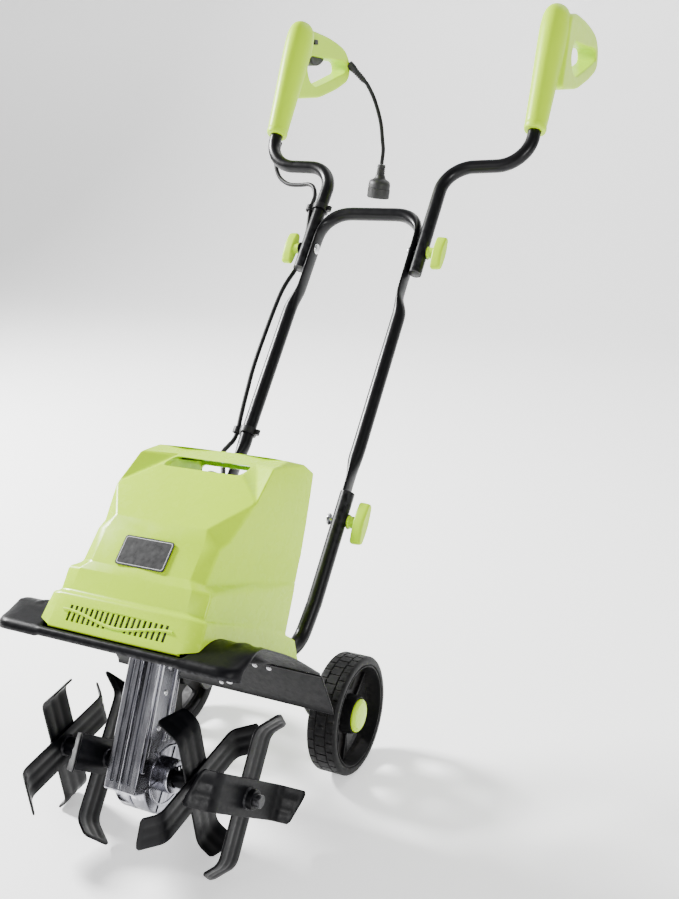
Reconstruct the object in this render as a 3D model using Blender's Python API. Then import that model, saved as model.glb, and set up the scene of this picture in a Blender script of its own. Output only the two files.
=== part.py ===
"""Electric tiller: a tilted motor head with four tine sets, two wheels and a folding handle.

Frame: metres, +Z up, floor at z = 0, -Y is the front, X is the width. The tine shaft lies
along X. Head parts are laid out in the head's own axes and tilted back with HEAD:
across (x), rearward along the deck (u) and up the motor's axis (w).
"""

import math

import bmesh
import bpy
from mathutils import Matrix
from mathutils import Vector

# Whole machine
MID_Y = 0.4450
SHAFT_Z = 0.094
HEAD_TILT_DEG = 25.0
GAP = 0.0003

# Tubes
TUBE_R = 0.010
TUBE_WALL = 0.0015
LEAN = math.atan(0.8228)
LOWER_X = 0.1045
MIDDLE_X = 0.0894
UPPER_X = 0.0955
GRIP_X = 0.2202
GRIP_LEAN = math.atan2(0.1080, 0.1889)
FLAT_R = 0.0035
FLAT_W = 0.0130
BOLT_R = 0.0030
UPPER_BOLT = (0.5838, 0.6490)
LOWER_BOLT = (0.2960, 0.3260)

# Tines
TINE_X_OUTER = 0.130
TINE_X_INNER = 0.066
BLADE_W = 0.042
BLADE_T = 0.003
FOLD_R = 0.0745
TIP_OUT = 0.0265
TINE_REACH = 0.1012
SHAFT_R = 0.0075
HUB_R = 0.0115

# Drive
MOTOR_U = -0.038
WHEEL_GEAR_R = 0.0265
WORM_R = 0.0105
MOTOR_R = 0.042

# Wheels
WHEEL_R = 0.0784
WHEEL_Y = 0.2434
WHEEL_X_IN = 0.1152
WHEEL_X_OUT = 0.1558
AXLE_R = 0.005

TILT = math.radians(HEAD_TILT_DEG)
HEAD = Matrix.Translation((0, -MID_Y, SHAFT_Z)) @ Matrix.Rotation(-TILT, 4, "X")
WORLD = Matrix.Translation((0, -MID_Y, 0))
MATERIALS = {}

for old in list(bpy.data.objects):
    bpy.data.objects.remove(old, do_unlink=True)


def material(name, color, roughness, metallic):
    mat = bpy.data.materials.new(name)
    mat.use_nodes = True
    shader = mat.node_tree.nodes["Principled BSDF"]
    shader.inputs["Base Color"].default_value = (color[0], color[1], color[2], 1.0)
    shader.inputs["Roughness"].default_value = roughness
    shader.inputs["Metallic"].default_value = metallic
    return mat


LOOKS = {
    "lime": ((0.56, 0.75, 0.10), 0.30, 0.0),
    "black_plastic": ((0.016, 0.016, 0.018), 0.45, 0.0),
    "black_paint": ((0.012, 0.012, 0.015), 0.35, 0.3),
    "aluminium": ((0.72, 0.72, 0.74), 0.28, 1.0),
    "steel": ((0.60, 0.60, 0.62), 0.32, 1.0),
    "rubber": ((0.020, 0.020, 0.021), 0.70, 0.0),
    "cable": ((0.010, 0.010, 0.011), 0.50, 0.0),
    "bronze": ((0.60, 0.42, 0.18), 0.35, 1.0),
}


def link(name, bm, look, matrix, origin=(0, 0, 0), smooth=True):
    """Make one object from bm. origin is its own origin, in the axes bm was drawn in."""
    bmesh.ops.remove_doubles(bm, verts=bm.verts, dist=1e-6)
    bmesh.ops.recalc_face_normals(bm, faces=bm.faces)
    bmesh.ops.translate(bm, verts=bm.verts, vec=-Vector(origin))
    mesh = bpy.data.meshes.new(name)
    bm.to_mesh(mesh)
    bm.free()
    if smooth:
        mesh.shade_smooth()
        mesh.set_sharp_from_angle(angle=math.radians(32))
    ob = bpy.data.objects.new(name, mesh)
    bpy.context.collection.objects.link(ob)
    ob.matrix_world = matrix @ Matrix.Translation(Vector(origin))
    if look:
        color, roughness, metallic = LOOKS[look]
        mesh.materials.append(material(name + "_" + look, color, roughness, metallic))
    return ob


def boolean(ob, other, operation):
    """Apply other to ob and throw other away."""
    mod = ob.modifiers.new(operation.lower(), "BOOLEAN")
    mod.operation = operation
    mod.solver = "EXACT"
    mod.object = other
    bpy.context.view_layer.update()
    graph = bpy.context.evaluated_depsgraph_get()
    mesh = bpy.data.meshes.new_from_object(ob.evaluated_get(graph))
    ob.modifiers.clear()
    slots = list(ob.data.materials)
    ob.data = mesh
    mesh.materials.clear()
    for slot in slots:
        mesh.materials.append(slot)
    bpy.data.objects.remove(other, do_unlink=True)
    bm = bmesh.new()
    bm.from_mesh(mesh)
    bmesh.ops.remove_doubles(bm, verts=bm.verts, dist=2e-6)
    bmesh.ops.dissolve_degenerate(bm, edges=bm.edges, dist=1e-6)
    bm.to_mesh(mesh)
    bm.free()
    mesh.set_sharp_from_angle(angle=math.radians(32))
    return ob


def cut(ob, *others):
    for other in others:
        boolean(ob, other, "DIFFERENCE")
    return ob


def join(ob, *others):
    for other in others:
        boolean(ob, other, "UNION")
    return ob


def spot(axis, along, a, b):
    """Point with its axial coordinate first: axis X gives (along, a, b) and so on."""
    if axis == "X":
        return Vector((along, a, b))
    if axis == "Y":
        return Vector((b, along, a))
    return Vector((a, b, along))


def revolved(profile, axis="Z", centre=(0, 0, 0), count=32):
    """Turn a closed (radius, along) outline about an axis. Radius 0 makes a pole."""
    bm = bmesh.new()
    rings = []
    for radius, along in profile:
        if radius < 1e-9:
            rings.append([bm.verts.new(spot(axis, along, 0, 0))])
            continue
        ring = []
        for i in range(count):
            a = 2 * math.pi * i / count
            ring.append(bm.verts.new(spot(axis, along, radius * math.cos(a), radius * math.sin(a))))
        rings.append(ring)
    total = len(rings)
    for k in range(total):
        one = rings[k]
        two = rings[(k + 1) % total]
        if len(one) == 1 and len(two) == 1:
            continue
        for i in range(count):
            j = (i + 1) % count
            if len(one) == 1:
                bm.faces.new((one[0], two[i], two[j]))
            elif len(two) == 1:
                bm.faces.new((one[i], one[j], two[0]))
            else:
                bm.faces.new((one[i], one[j], two[j], two[i]))
    bmesh.ops.translate(bm, verts=bm.verts, vec=Vector(centre))
    return bm


def rod(radius, lo, hi, axis="Z", centre=(0, 0, 0), count=24, chamfer=0.0):
    c = chamfer
    if c > 0:
        outline = [(0, lo), (radius - c, lo), (radius, lo + c), (radius, hi - c), (radius - c, hi), (0, hi)]
    else:
        outline = [(0, lo), (radius, lo), (radius, hi), (0, hi)]
    return revolved(outline, axis, centre, count)


def ring(r_in, r_out, lo, hi, axis="Z", centre=(0, 0, 0), count=32):
    return revolved([(r_in, lo), (r_out, lo), (r_out, hi), (r_in, hi)], axis, centre, count)


def prism(points, lo, hi, axis="X"):
    """Extrude a closed outline. For axis X the outline is (y, z), for Z it is (x, y)."""
    bm = bmesh.new()
    one = [bm.verts.new(spot(axis, lo, a, b)) for a, b in points]
    two = [bm.verts.new(spot(axis, hi, a, b)) for a, b in points]
    bm.faces.new(one)
    bm.faces.new(list(reversed(two)))
    total = len(points)
    for i in range(total):
        j = (i + 1) % total
        bm.faces.new((one[j], one[i], two[i], two[j]))
    return bm


def box(x0, x1, y0, y1, z0, z1):
    return prism([(y0, z0), (y1, z0), (y1, z1), (y0, z1)], x0, x1, "X")


def loft(rings):
    """Skin a list of equal rings of points and cap both ends."""
    bm = bmesh.new()
    made = [[bm.verts.new(p) for p in one] for one in rings]
    bm.faces.new(made[0])
    bm.faces.new(list(reversed(made[-1])))
    count = len(made[0])
    for one, two in zip(made, made[1:]):
        for i in range(count):
            j = (i + 1) % count
            bm.faces.new((one[j], one[i], two[i], two[j]))
    return bm


def bevel(bm, width, segments=1, angle=30):
    """Round every edge sharper than angle."""
    bmesh.ops.remove_doubles(bm, verts=bm.verts, dist=1e-6)
    bmesh.ops.recalc_face_normals(bm, faces=bm.faces)
    sharp = []
    for edge in bm.edges:
        if len(edge.link_faces) == 2 and edge.calc_face_angle(0) > math.radians(angle):
            sharp.append(edge)
    bmesh.ops.bevel(
        bm,
        geom=sharp,
        offset=width,
        segments=segments,
        profile=0.5,
        affect="EDGES",
        clamp_overlap=True,
    )
    return bm


def fillet(corners, radii, step=4):
    """Replace each inner corner of a path by an arc."""
    path = [Vector(corners[0])]
    for k in range(1, len(corners) - 1):
        a = Vector(corners[k - 1])
        b = Vector(corners[k])
        c = Vector(corners[k + 1])
        d1 = (a - b).normalized()
        d2 = (c - b).normalized()
        half = d1.angle(d2) / 2
        radius = radii[k - 1]
        if radius <= 0:
            path.append(b)
            continue
        reach = radius / math.tan(half)
        middle = b + (d1 + d2).normalized() * (radius / math.sin(half))
        start = b + d1 * reach - middle
        end = b + d2 * reach - middle
        turn = start.angle(end)
        axis = start.cross(end).normalized()
        count = max(2, int(step * turn / (math.pi / 2) + 1))
        for i in range(count + 1):
            path.append(middle + Matrix.Rotation(turn * i / count, 3, axis) @ start)
    path.append(Vector(corners[-1]))
    return path


def pipe(path, sizes, normal, count=12, wall=TUBE_WALL, look="black_paint", name="tube",
         matrix=WORLD, origin=(0, 0, 0)):
    """Open-ended tube along path. sizes are (half width in the path's plane, half width across)."""
    normal = Vector(normal).normalized()
    bm = bmesh.new()
    outer = []
    inner = []
    for k, point in enumerate(path):
        before = path[max(k - 1, 0)]
        after = path[min(k + 1, len(path) - 1)]
        tangent = (after - before).normalized()
        across = (normal - tangent * normal.dot(tangent)).normalized()
        side = tangent.cross(across)
        in_plane, over = sizes[k]
        one = []
        two = []
        for i in range(count):
            a = 2 * math.pi * (i + 0.5) / count
            out = side * (in_plane * math.cos(a)) + across * (over * math.sin(a))
            into = side * ((in_plane - wall) * math.cos(a)) + across * ((over - wall) * math.sin(a))
            one.append(bm.verts.new(point + out))
            two.append(bm.verts.new(point + into))
        outer.append(one)
        inner.append(two)
    for k in range(len(path) - 1):
        for i in range(count):
            j = (i + 1) % count
            bm.faces.new((outer[k][i], outer[k][j], outer[k + 1][j], outer[k + 1][i]))
            bm.faces.new((inner[k][j], inner[k][i], inner[k + 1][i], inner[k + 1][j]))
    for k in (0, len(path) - 1):
        for i in range(count):
            j = (i + 1) % count
            bm.faces.new((outer[k][i], outer[k][j], inner[k][j], inner[k][i]))
    return link(name, bm, look, matrix, origin)


def cord(name, points, radius, look, resolution=2):
    """Round cord along points (already in the part's frame)."""
    curve = bpy.data.curves.new(name, "CURVE")
    curve.dimensions = "3D"
    curve.bevel_depth = radius
    curve.bevel_resolution = resolution
    curve.use_fill_caps = True
    curve.render_resolution_u = 0
    spline = curve.splines.new("POLY")
    spline.points.add(len(points) - 1)
    for slot, point in zip(spline.points, points):
        slot.co = (point[0], point[1], point[2], 1.0)
    ob = bpy.data.objects.new(name, curve)
    bpy.context.collection.objects.link(ob)
    color, roughness, metallic = LOOKS[look]
    curve.materials.append(material(name + "_" + look, color, roughness, metallic))
    return ob


def smooth_path(knots, spacing):
    """Even points along a Catmull-Rom curve through knots, moved into the part's frame."""
    knots = [Vector(k) for k in knots]
    ends = [knots[0] * 2 - knots[1]] + knots + [knots[-1] * 2 - knots[-2]]
    fine = []
    for k in range(1, len(ends) - 2):
        a, b, c, d = ends[k - 1], ends[k], ends[k + 1], ends[k + 2]
        for i in range(24):
            t = i / 24
            bent = (b * 2 + (c - a) * t + (a * 2 - b * 5 + c * 4 - d) * t * t)
            bent += (b * 3 - a - c * 3 + d) * t * t * t
            fine.append(bent * 0.5)
    fine.append(knots[-1])
    total = sum((q - p).length for p, q in zip(fine, fine[1:]))
    count = max(2, round(total / spacing))
    out = [fine[0]]
    walked = 0.0
    target = total / count
    for p, q in zip(fine, fine[1:]):
        walked += (q - p).length
        if walked >= target - 1e-9 and len(out) < count:
            out.append(q)
            target += total / count
    out.append(fine[-1])
    return [p - Vector((0, MID_Y, 0)) for p in out]


def head_point(x, u, w):
    """Head axes to the frame with the tine shaft at y = 0."""
    turned = Matrix.Rotation(-TILT, 3, "X") @ Vector((x, u, w))
    return turned + Vector((0, 0, SHAFT_Z))


def mirrored(outline):
    return [(-x, z) for x, z in reversed(outline)]


SIDES = (("left", -1), ("right", 1))


# ---------------------------------------------------------------- hood

# One row per height. Each point is (across, along u, up w): middle of the front, front panel's edge,
# front corner, side, rear corner.
HOOD_ROWS = (
    ((0, -0.1370, 0.150), (0.0880, -0.1350, 0.150), (0.1080, -0.1270, 0.150), (0.1100, -0.0100, 0.1475),
     (0.1125, 0.1070, 0.147)),
    ((0, -0.1255, 0.190), (0.0860, -0.1235, 0.190), (0.1050, -0.1155, 0.188), (0.1075, 0.0000, 0.184),
     (0.1090, 0.0906, 0.177)),
    ((0, -0.1215, 0.193), (0.0780, -0.1185, 0.193), (0.0985, -0.1110, 0.191), (0.1060, 0.0000, 0.188),
     (0.1070, 0.0673, 0.182)),
    ((0, -0.1160, 0.2195), (0.0780, -0.1130, 0.2195), (0.0985, -0.1060, 0.2185), (0.1052, 0.0100, 0.234),
     (0.1070, 0.0690, 0.236)),
    ((0, -0.1110, 0.229), (0.0680, -0.1070, 0.229), (0.0845, -0.1005, 0.227), (0.1005, 0.0060, 0.241),
     (0.1065, 0.0690, 0.246)),
    ((0, -0.0957, 0.269), (0.0670, -0.0917, 0.269), (0.0845, -0.0850, 0.268), (0.1010, 0.0260, 0.269),
     (0.1065, 0.0694, 0.270)),
    ((0, -0.0860, 0.287), (0.0635, -0.0850, 0.287), (0.0875, -0.0715, 0.2785), (0.1045, 0.0340, 0.279),
     (0.1070, 0.0696, 0.280)),
    ((0, -0.0250, 0.358), (0.0600, -0.0250, 0.358), (0.0985, -0.0490, 0.327), (0.1050, 0.0300, 0.325),
     (0.1070, 0.0680, 0.320)),
    ((0, 0.0040, 0.3750), (0.0600, 0.0040, 0.3750), (0.0955, -0.0190, 0.372), (0.1045, 0.0300, 0.366),
     (0.1065, 0.0665, 0.355)),
    ((0, 0.0300, 0.390), (0.0600, 0.0300, 0.390), (0.0940, 0.0150, 0.387), (0.1045, 0.0400, 0.3880),
     (0.1060, 0.0650, 0.382)),
)


def skin(rings, guide):
    """Skin rings with flat triangles. Each patch is split along the diagonal that bulges out in guide."""
    bm = bmesh.new()
    made = [[bm.verts.new(p) for p in one] for one in rings]
    count = len(made[0])
    for k in range(len(rings) - 1):
        for i in range(count):
            j = (i + 1) % count
            a, b, c, d = guide[k][i], guide[k][j], guide[k + 1][j], guide[k + 1][i]
            out = (c - a).cross(d - b)
            middle = (a + b + c + d) / 4
            if out.dot(Vector((middle.x, middle.y + 0.020, 0))) < 0:
                out = -out
            one, two, three, four = made[k][i], made[k][j], made[k + 1][j], made[k + 1][i]
            if (a + c - b - d).dot(out) > 0:
                bm.faces.new((one, two, three))
                bm.faces.new((one, three, four))
            else:
                bm.faces.new((one, two, four))
                bm.faces.new((two, three, four))
    front = count // 2
    for cap in (made[0], made[-1]):
        for i in range(count):
            j = (i + 1) % count
            if i != front and j != front:
                bm.faces.new((cap[front], cap[i], cap[j]))
    bmesh.ops.recalc_face_normals(bm, faces=bm.faces)
    return bm


def hood_body(thin):
    """Solid of the hood's outside, or of its inside when thin is the wall."""
    rings = []
    guide = []
    for k, row in enumerate(HOOD_ROWS):
        for wall, out in ((0.0, guide), (thin, rings)):
            half = []
            for m, (x, u, w) in enumerate(row):
                if wall > 0:
                    x = max(x - wall * (1.0 if m > 1 else 0.6), 0)
                    u += -1.2 * wall if m == 4 else 1.3 * wall
                    w -= 1.2 * wall if k > 6 else 0.4 * wall
                half.append(Vector((x, u, w)))
            left = [Vector((-p.x, p.y, p.z)) for p in reversed(half[1:])]
            out.append(left + half)
    if thin > 0:
        rings[0] = [p + (q - p) * ((0.120 - p.z) / (q.z - p.z)) for p, q in zip(rings[0], rings[1])]
    bm = skin(rings, guide)
    if thin == 0:
        bevel(bm, 0.0040, 2, 26)
        bmesh.ops.triangulate(bm, faces=bm.faces)
    return bm


def facet(ob):
    """Split every face into triangles, so that each one is flat."""
    bm = bmesh.new()
    bm.from_mesh(ob.data)
    bmesh.ops.triangulate(bm, faces=bm.faces)
    bm.to_mesh(ob.data)
    bm.free()
    return ob


DECK_SIDE = [(-0.1415, 0.1455), (-0.126, 0.154), (-0.108, 0.1645), (-0.090, 0.170), (-0.070, 0.1695), (-0.013, 0.162),
             (0.065, 0.1445)]
DECK_MID = [(-0.1415, 0.1472), (-0.126, 0.1466), (-0.108, 0.146), (-0.090, 0.1445), (-0.070, 0.1435), (-0.013, 0.1435),
            (0.065, 0.1435)]
DECK_T = 0.0022


def deck(top, bottom, half, stations):
    """Sheet whose middle is flat and whose sides carry the wave. Offsets are above the wave line."""
    rings = []
    for x, share in stations:
        low = []
        high = []
        for (u, w0), (_, w1) in zip(DECK_MID, DECK_SIDE):
            w = w0 + (w1 - w0) * share
            low.append(Vector((x, u, w + bottom)))
            high.append(Vector((x, u, w + top)))
        rings.append(low + list(reversed(high)))
    return loft(rings)


DECK_STATIONS = [(-0.1634, 1.0), (-0.0985, 1.0), (-0.0935, 0.0), (0.0935, 0.0), (0.0985, 1.0), (0.1634, 1.0)]

hood = link("hood", hood_body(0.0), "lime", HEAD)
# The lower edge follows the deck's wave at both sides.
WAVE = [(-0.1420, 0.100)]
WAVE += [(u, w + DECK_T + GAP) for u, w in [(-0.1420, 0.1452)] + DECK_SIDE[1:]]
WAVE += [(0.125, 0.1475), (0.125, 0.100)]
for _, sx in SIDES:
    x_lo = 0.0880 if sx > 0 else -0.1300
    x_hi = 0.1300 if sx > 0 else -0.0880
    cut(hood, link("c", prism(WAVE, x_lo, x_hi), None, HEAD))
cut(hood, link("c", hood_body(0.003), None, HEAD))
# Carry handle: the hand goes in under the top ridge from the front and out at the back.
cut(hood, link("c", bevel(box(-0.056, 0.056, -0.060, 0.100, 0.3575, 0.3735), 0.004, 2), None, HEAD))
# Two notches in the rear skirt let the lower tubes in.
for _, sx in SIDES:
    lo, hi = sorted((0.0810 * sx, 0.1090 * sx))
    cut(hood, link("c", box(lo, hi, 0.050, 0.125, 0.1400, 0.1740), None, HEAD))
# A shallow seat for the label plate.
LABEL_TILT = math.atan2(0.0153, 0.040)
LABEL = HEAD @ Matrix.Translation((0, -0.10335, 0.249)) @ Matrix.Rotation(-LABEL_TILT, 4, "X")
cut(hood, link("c", box(-0.0340, 0.0340, -0.010, 0.0009, -0.0190, 0.0190), None, LABEL))

link("label_plate", bevel(box(-0.0335, 0.0335, -0.0007, 0.0006, -0.0185, 0.0185), 0.0003, 1),
     "black_plastic", LABEL)

# Two rows of air slots with a wave-shaped bar between them, moulded into the hood's lower front.
VENT_TILT = math.atan2(0.0115, 0.042)
VENT = HEAD @ Matrix.Translation((0, -0.1311, 0.1695)) @ Matrix.Rotation(-VENT_TILT, 4, "X")
VENTS = 19
for k in range(VENTS):
    x = 0.0072 * (k - (VENTS - 1) / 2)
    edge = 0.0030 * math.sin(2 * math.pi * (k + 0.5) / VENTS)
    cut(hood, link("c", box(x - 0.0016, x + 0.0016, -0.006, 0.012, edge + 0.0010, 0.0092), None, VENT))
    cut(hood, link("c", box(x - 0.0016, x + 0.0016, -0.006, 0.012, -0.0092, edge - 0.0010), None, VENT))

# ---------------------------------------------------------------- deck

fender = link("fender", deck(DECK_T, 0.0, 0.1634, DECK_STATIONS), "black_paint", HEAD)
cut(fender, link("c", rod(MOTOR_R + 0.0030, 0.10, 0.20, "Z", (0, MOTOR_U, 0), 32), None, HEAD))

facet(fender)

GUARD = [(0.0655, 0.1445), (0.0700, 0.1437), (0.1190, 0.1030), (0.1230, 0.0960), (0.1210, 0.0955),
         (0.1172, 0.1018), (0.0690, 0.1415), (0.0655, 0.1422)]
guard = link("rear_guard", prism(GUARD, -0.1634, 0.1634), "black_paint", HEAD)

# ---------------------------------------------------------------- gearbox

COLUMN = [(-0.062, -0.020), (-0.010, -0.020), (-0.010, 0.078), (-0.014, 0.130), (-0.014, 0.136),
          (-0.062, 0.136)]
for side, sx in SIDES:
    x0 = GAP / 2 * sx
    x1 = 0.0215 * sx
    lo, hi = min(x0, x1), max(x0, x1)
    half = link("gearbox_" + side, bevel(prism(COLUMN, lo, hi), 0.002, 1), "aluminium", HEAD)
    join(half, link("c", rod(0.0460, lo, hi, "X", (0, 0, 0), 28, 0.002), None, HEAD))
    b0, b1 = sorted((0.0205 * sx, 0.0345 * sx))
    join(half, link("c", rod(0.0200, b0, b1, "X", (0, 0, 0), 24, 0.001), None, HEAD))
    rib0, rib1 = sorted((0.0200 * sx, 0.0235 * sx))
    join(half, link("c", box(rib0, rib1, -0.056, -0.050, 0.005, 0.133), None, HEAD))
    join(half, link("c", box(rib0, rib1, -0.026, -0.020, 0.040, 0.133), None, HEAD))
    w0, w1 = sorted((-0.02 * sx, 0.0090 * sx))
    cut(half, link("c", rod(0.0285, w0, w1, "X", (0, 0, 0), 24), None, HEAD))
    cut(half, link("c", rod(0.0125, -0.012, 0.120, "Z", (0, MOTOR_U, 0), 24), None, HEAD))
    cut(half, link("c", rod(0.0145, 0.118, 0.150, "Z", (0, MOTOR_U, 0), 24), None, HEAD))
    s0, s1 = sorted((0.0080 * sx, 0.0198 * sx))
    cut(half, link("c", rod(0.0163, s0, s1, "X", (0, 0, 0), 24), None, HEAD))
    h0, h1 = sorted((0.0180 * sx, 0.0400 * sx))
    cut(half, link("c", rod(0.0125, h0, h1, "X", (0, 0, 0), 24), None, HEAD))

for side, sx in SIDES:
    lo, hi = sorted((0.0105 * sx, 0.0195 * sx))
    link("shaft_bearing_" + side, ring(SHAFT_R + GAP, 0.0160, lo, hi, "X", (0, 0, 0), 24), "steel", HEAD)
    lo, hi = sorted((0.0235 * sx, 0.0295 * sx))
    link("oil_seal_" + side, ring(SHAFT_R + 0.0005, 0.0122, lo, hi, "X", (0, 0, 0), 24), "rubber", HEAD)

flange = link("motor_flange", rod(0.0480, 0.1363, 0.1400, "Z", (0, MOTOR_U, 0), 28), "black_paint", HEAD)
cut(flange, link("c", rod(0.0145, 0.10, 0.20, "Z", (0, MOTOR_U, 0), 24), None, HEAD))

link("tine_shaft", rod(SHAFT_R, -0.1500, 0.1500, "X", (0, 0, 0), 24, 0.0008), "steel", HEAD)


def gear_outline(r_root, r_tip, teeth):
    out = []
    for k in range(teeth):
        for share, radius in ((0.0, r_root), (0.25, r_root), (0.42, r_tip), (0.83, r_tip)):
            a = 2 * math.pi * (k + share) / teeth
            out.append((radius * math.cos(a), radius * math.sin(a)))
    return out


worm_teeth = gear_outline(0.0235, WHEEL_GEAR_R, 30)
worm_wheel = link("worm_wheel", prism(worm_teeth, -0.0065, 0.0065), "bronze", HEAD)
cut(worm_wheel, link("c", rod(SHAFT_R + GAP, -0.02, 0.02, "X", (0, 0, 0), 32), None, HEAD))

# Worm shaft: a grooved worm at the bottom of a long shaft that carries the rotor at its top.
worm = [(0, -0.0100), (0.0050, -0.0100), (0.0050, -0.0085)]
for k in range(4):
    base = -0.0085 + 0.0055 * k
    worm += [(0.0078, base + 0.0008), (WORM_R, base + 0.0020)]
    worm += [(WORM_R, base + 0.0032), (0.0078, base + 0.0044)]
worm += [(0.0050, 0.0150), (0.0040, 0.0160), (0.0040, 0.2790), (0, 0.2790)]
worm_origin = (0, MOTOR_U, 0)
link("worm_shaft", revolved(worm, "Z", worm_origin, 14), "steel", HEAD, worm_origin)

# ---------------------------------------------------------------- motor

case = [(0.0395, 0.1403), (MOTOR_R, 0.1403), (MOTOR_R, 0.2560), (0.0395, 0.2585), (0.0115, 0.2585),
        (0.0115, 0.2560), (0.0385, 0.2555), (0.0395, 0.2545)]
link("motor_case", revolved(case, "Z", worm_origin, 24), "steel", HEAD)
link("stator_core", ring(0.0260, 0.0390, 0.1700, 0.2250, "Z", worm_origin, 24), "steel", HEAD)
rotor = [(0.0043, 0.1650), (0.0160, 0.1650), (0.0160, 0.1715), (0.0253, 0.1720), (0.0253, 0.2230),
         (0.0160, 0.2235), (0.0160, 0.2400), (0.0043, 0.2400)]
link("rotor", revolved(rotor, "Z", worm_origin, 20), "bronze", HEAD, worm_origin)
link("motor_bearing_lower", ring(0.0043, 0.0142, 0.1255, 0.1340, "Z", worm_origin, 24), "steel", HEAD)
link("motor_bearing_upper", ring(0.0043, 0.0112, 0.2515, 0.2582, "Z", worm_origin, 24), "steel", HEAD)

fan = link("cooling_fan", ring(0.0043, 0.0100, 0.2600, 0.2720, "Z", worm_origin, 18), "black_plastic",
           HEAD, worm_origin)
join(fan, link("c", ring(0.0090, 0.0370, 0.2600, 0.2612, "Z", worm_origin, 24), None, HEAD))
for k in range(7):
    a = 2 * math.pi * k / 7
    blade = box(0.0092, 0.0360, -0.0006, 0.0006, 0.2606, 0.2700)
    bmesh.ops.rotate(blade, verts=blade.verts, cent=(0, 0, 0), matrix=Matrix.Rotation(a, 3, "Z"))
    bmesh.ops.translate(blade, verts=blade.verts, vec=Vector(worm_origin))
    join(fan, link("c", blade, None, HEAD))

# ---------------------------------------------------------------- tines


def tine_strip(angle, bend, bend_far, offset):
    """One flat strip with two opposite arms. Each tip is folded along X, its end cut on the slant."""
    half = BLADE_W / 2
    t = BLADE_T / 2
    tall = math.sqrt(TINE_REACH * TINE_REACH - half * half) - 0.73 * t
    near = (-half, -half, half, half)
    rings = []
    for side, b in ((-1, bend_far), (1, bend)):
        full = TIP_OUT * b
        short = full * 0.62
        low = FOLD_R + (tall - FOLD_R) * 0.62
        nx = 0.68 * t * b
        nz = 0.73 * t
        top = (-t * b, FOLD_R + 0.43 * t)
        bottom = (t * b, FOLD_R - 0.43 * t)
        fold = (top, bottom, bottom, top)
        end = ((full - nx, tall + nz), (full + nx, tall - nz),
               (short + nx, low - nz), (short - nx, low + nz))
        pair = []
        for one in (fold, end):
            # The far arm is the near one turned half a turn, so its y runs the other way.
            points = [Vector((x, y * side, z * side)) for (x, z), y in zip(one, near)]
            if b < 0:
                points = [points[1], points[0], points[3], points[2]]
            if side < 0:
                points = [points[3], points[2], points[1], points[0]]
            pair.append(points)
        rings += pair if side > 0 else list(reversed(pair))
    bm = loft(rings)
    bmesh.ops.rotate(bm, verts=bm.verts, cent=(0, 0, 0), matrix=Matrix.Rotation(-angle, 3, "X"))
    bmesh.ops.translate(bm, verts=bm.verts, vec=Vector((offset, 0, 0)))
    return bm


TYPE_A = ((170, 1, -1), (80, 1, -1))
TYPE_B = ((35, 1, -1), (125, 1, -1))
TINES = (("tine_outer_left", -TINE_X_OUTER, TYPE_A, -1), ("tine_inner_left", -TINE_X_INNER, TYPE_B, -1),
         ("tine_inner_right", TINE_X_INNER, TYPE_A, 1), ("tine_outer_right", TINE_X_OUTER, TYPE_B, 1))
FLOOR = Matrix.Translation((0, -MID_Y, SHAFT_Z))
for name, x, arms, sx in TINES:
    inner = abs(x) < 0.1
    reach_in = 0.0300 if inner else 0.0345
    reach_out = 0.0292 if inner else 0.0050
    h0, h1 = sorted((x - sx * reach_in + sx * 0.001, x + sx * reach_out))
    if not inner:
        h0, h1 = sorted((x - sx * 0.0340, x + sx * 0.0120))
    place = Matrix.Translation((x, 0, 0))
    body = link(name, rod(HUB_R, h0 - x, h1 - x, "X", (0, 0, 0), 24), "black_paint", FLOOR @ place)
    for k, (degrees, outward, far) in enumerate(arms):
        offset = (BLADE_T / 2 - 0.00005) * (2 * k - 1)
        strip = tine_strip(math.radians(degrees), outward * sx, far * sx, offset)
        join(body, link("c", strip, None, FLOOR @ place, (0, 0, 0), False))
    cut(body, link("c", rod(SHAFT_R + GAP, -0.06, 0.06, "X", (0, 0, 0), 24), None, FLOOR @ place))

for side, sx in SIDES:
    px = 0.0400 * sx
    pin = link("tine_pin_" + side, rod(0.0022, -0.0160, 0.0160, "Z", (0, 0, 0), 12), "steel",
               FLOOR @ Matrix.Translation((px, 0, 0)))
    for name in ("tine_shaft", "tine_inner_" + side):
        hole = rod(0.0022 + GAP, -0.03, 0.03, "Z", (0, 0, 0), 16)
        cut(bpy.data.objects[name], link("c", hole, None, FLOOR @ Matrix.Translation((px, 0, 0))))

# ---------------------------------------------------------------- tubes and handles


def lean_point(x, s):
    """Point of the middle handle's plane, s along the leg from z = 0.6."""
    return Vector((x, 0.5448 + math.sin(LEAN) * s, 0.6 + math.cos(LEAN) * s))


LEAN_NORMAL = (0, math.cos(LEAN), -math.sin(LEAN))
BAR_S = 0.1295
FLAT_X = UPPER_X - TUBE_R - GAP - FLAT_R
LOW_FLAT_X = LOWER_X - TUBE_R - GAP - FLAT_R


def middle_half(sx):
    """Stations (x, s, flatness) from the lower end up to the middle of the bar."""
    rows = [(LOW_FLAT_X, -0.3930, 1), (LOW_FLAT_X, -0.3040, 1), (MIDDLE_X - 0.0008, -0.2760, 0),
            (MIDDLE_X, -0.2600, 0), (MIDDLE_X, -0.0400, 0), (FLAT_X, -0.0120, 1), (FLAT_X, 0.0720, 1)]
    out = [(Vector((sx * x, 0, 0)) + lean_point(0, s), flat) for x, s, flat in rows]
    r = BAR_S - 0.0900
    for k in range(1, 7):
        a = math.pi / 2 * k / 6
        x = FLAT_X - r * (1 - math.cos(a))
        s = 0.0900 + r * math.sin(a)
        out.append((Vector((sx * x, 0, 0)) + lean_point(0, s), max(0.0, 1.30 - 0.45 * k)))
    return out


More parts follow.
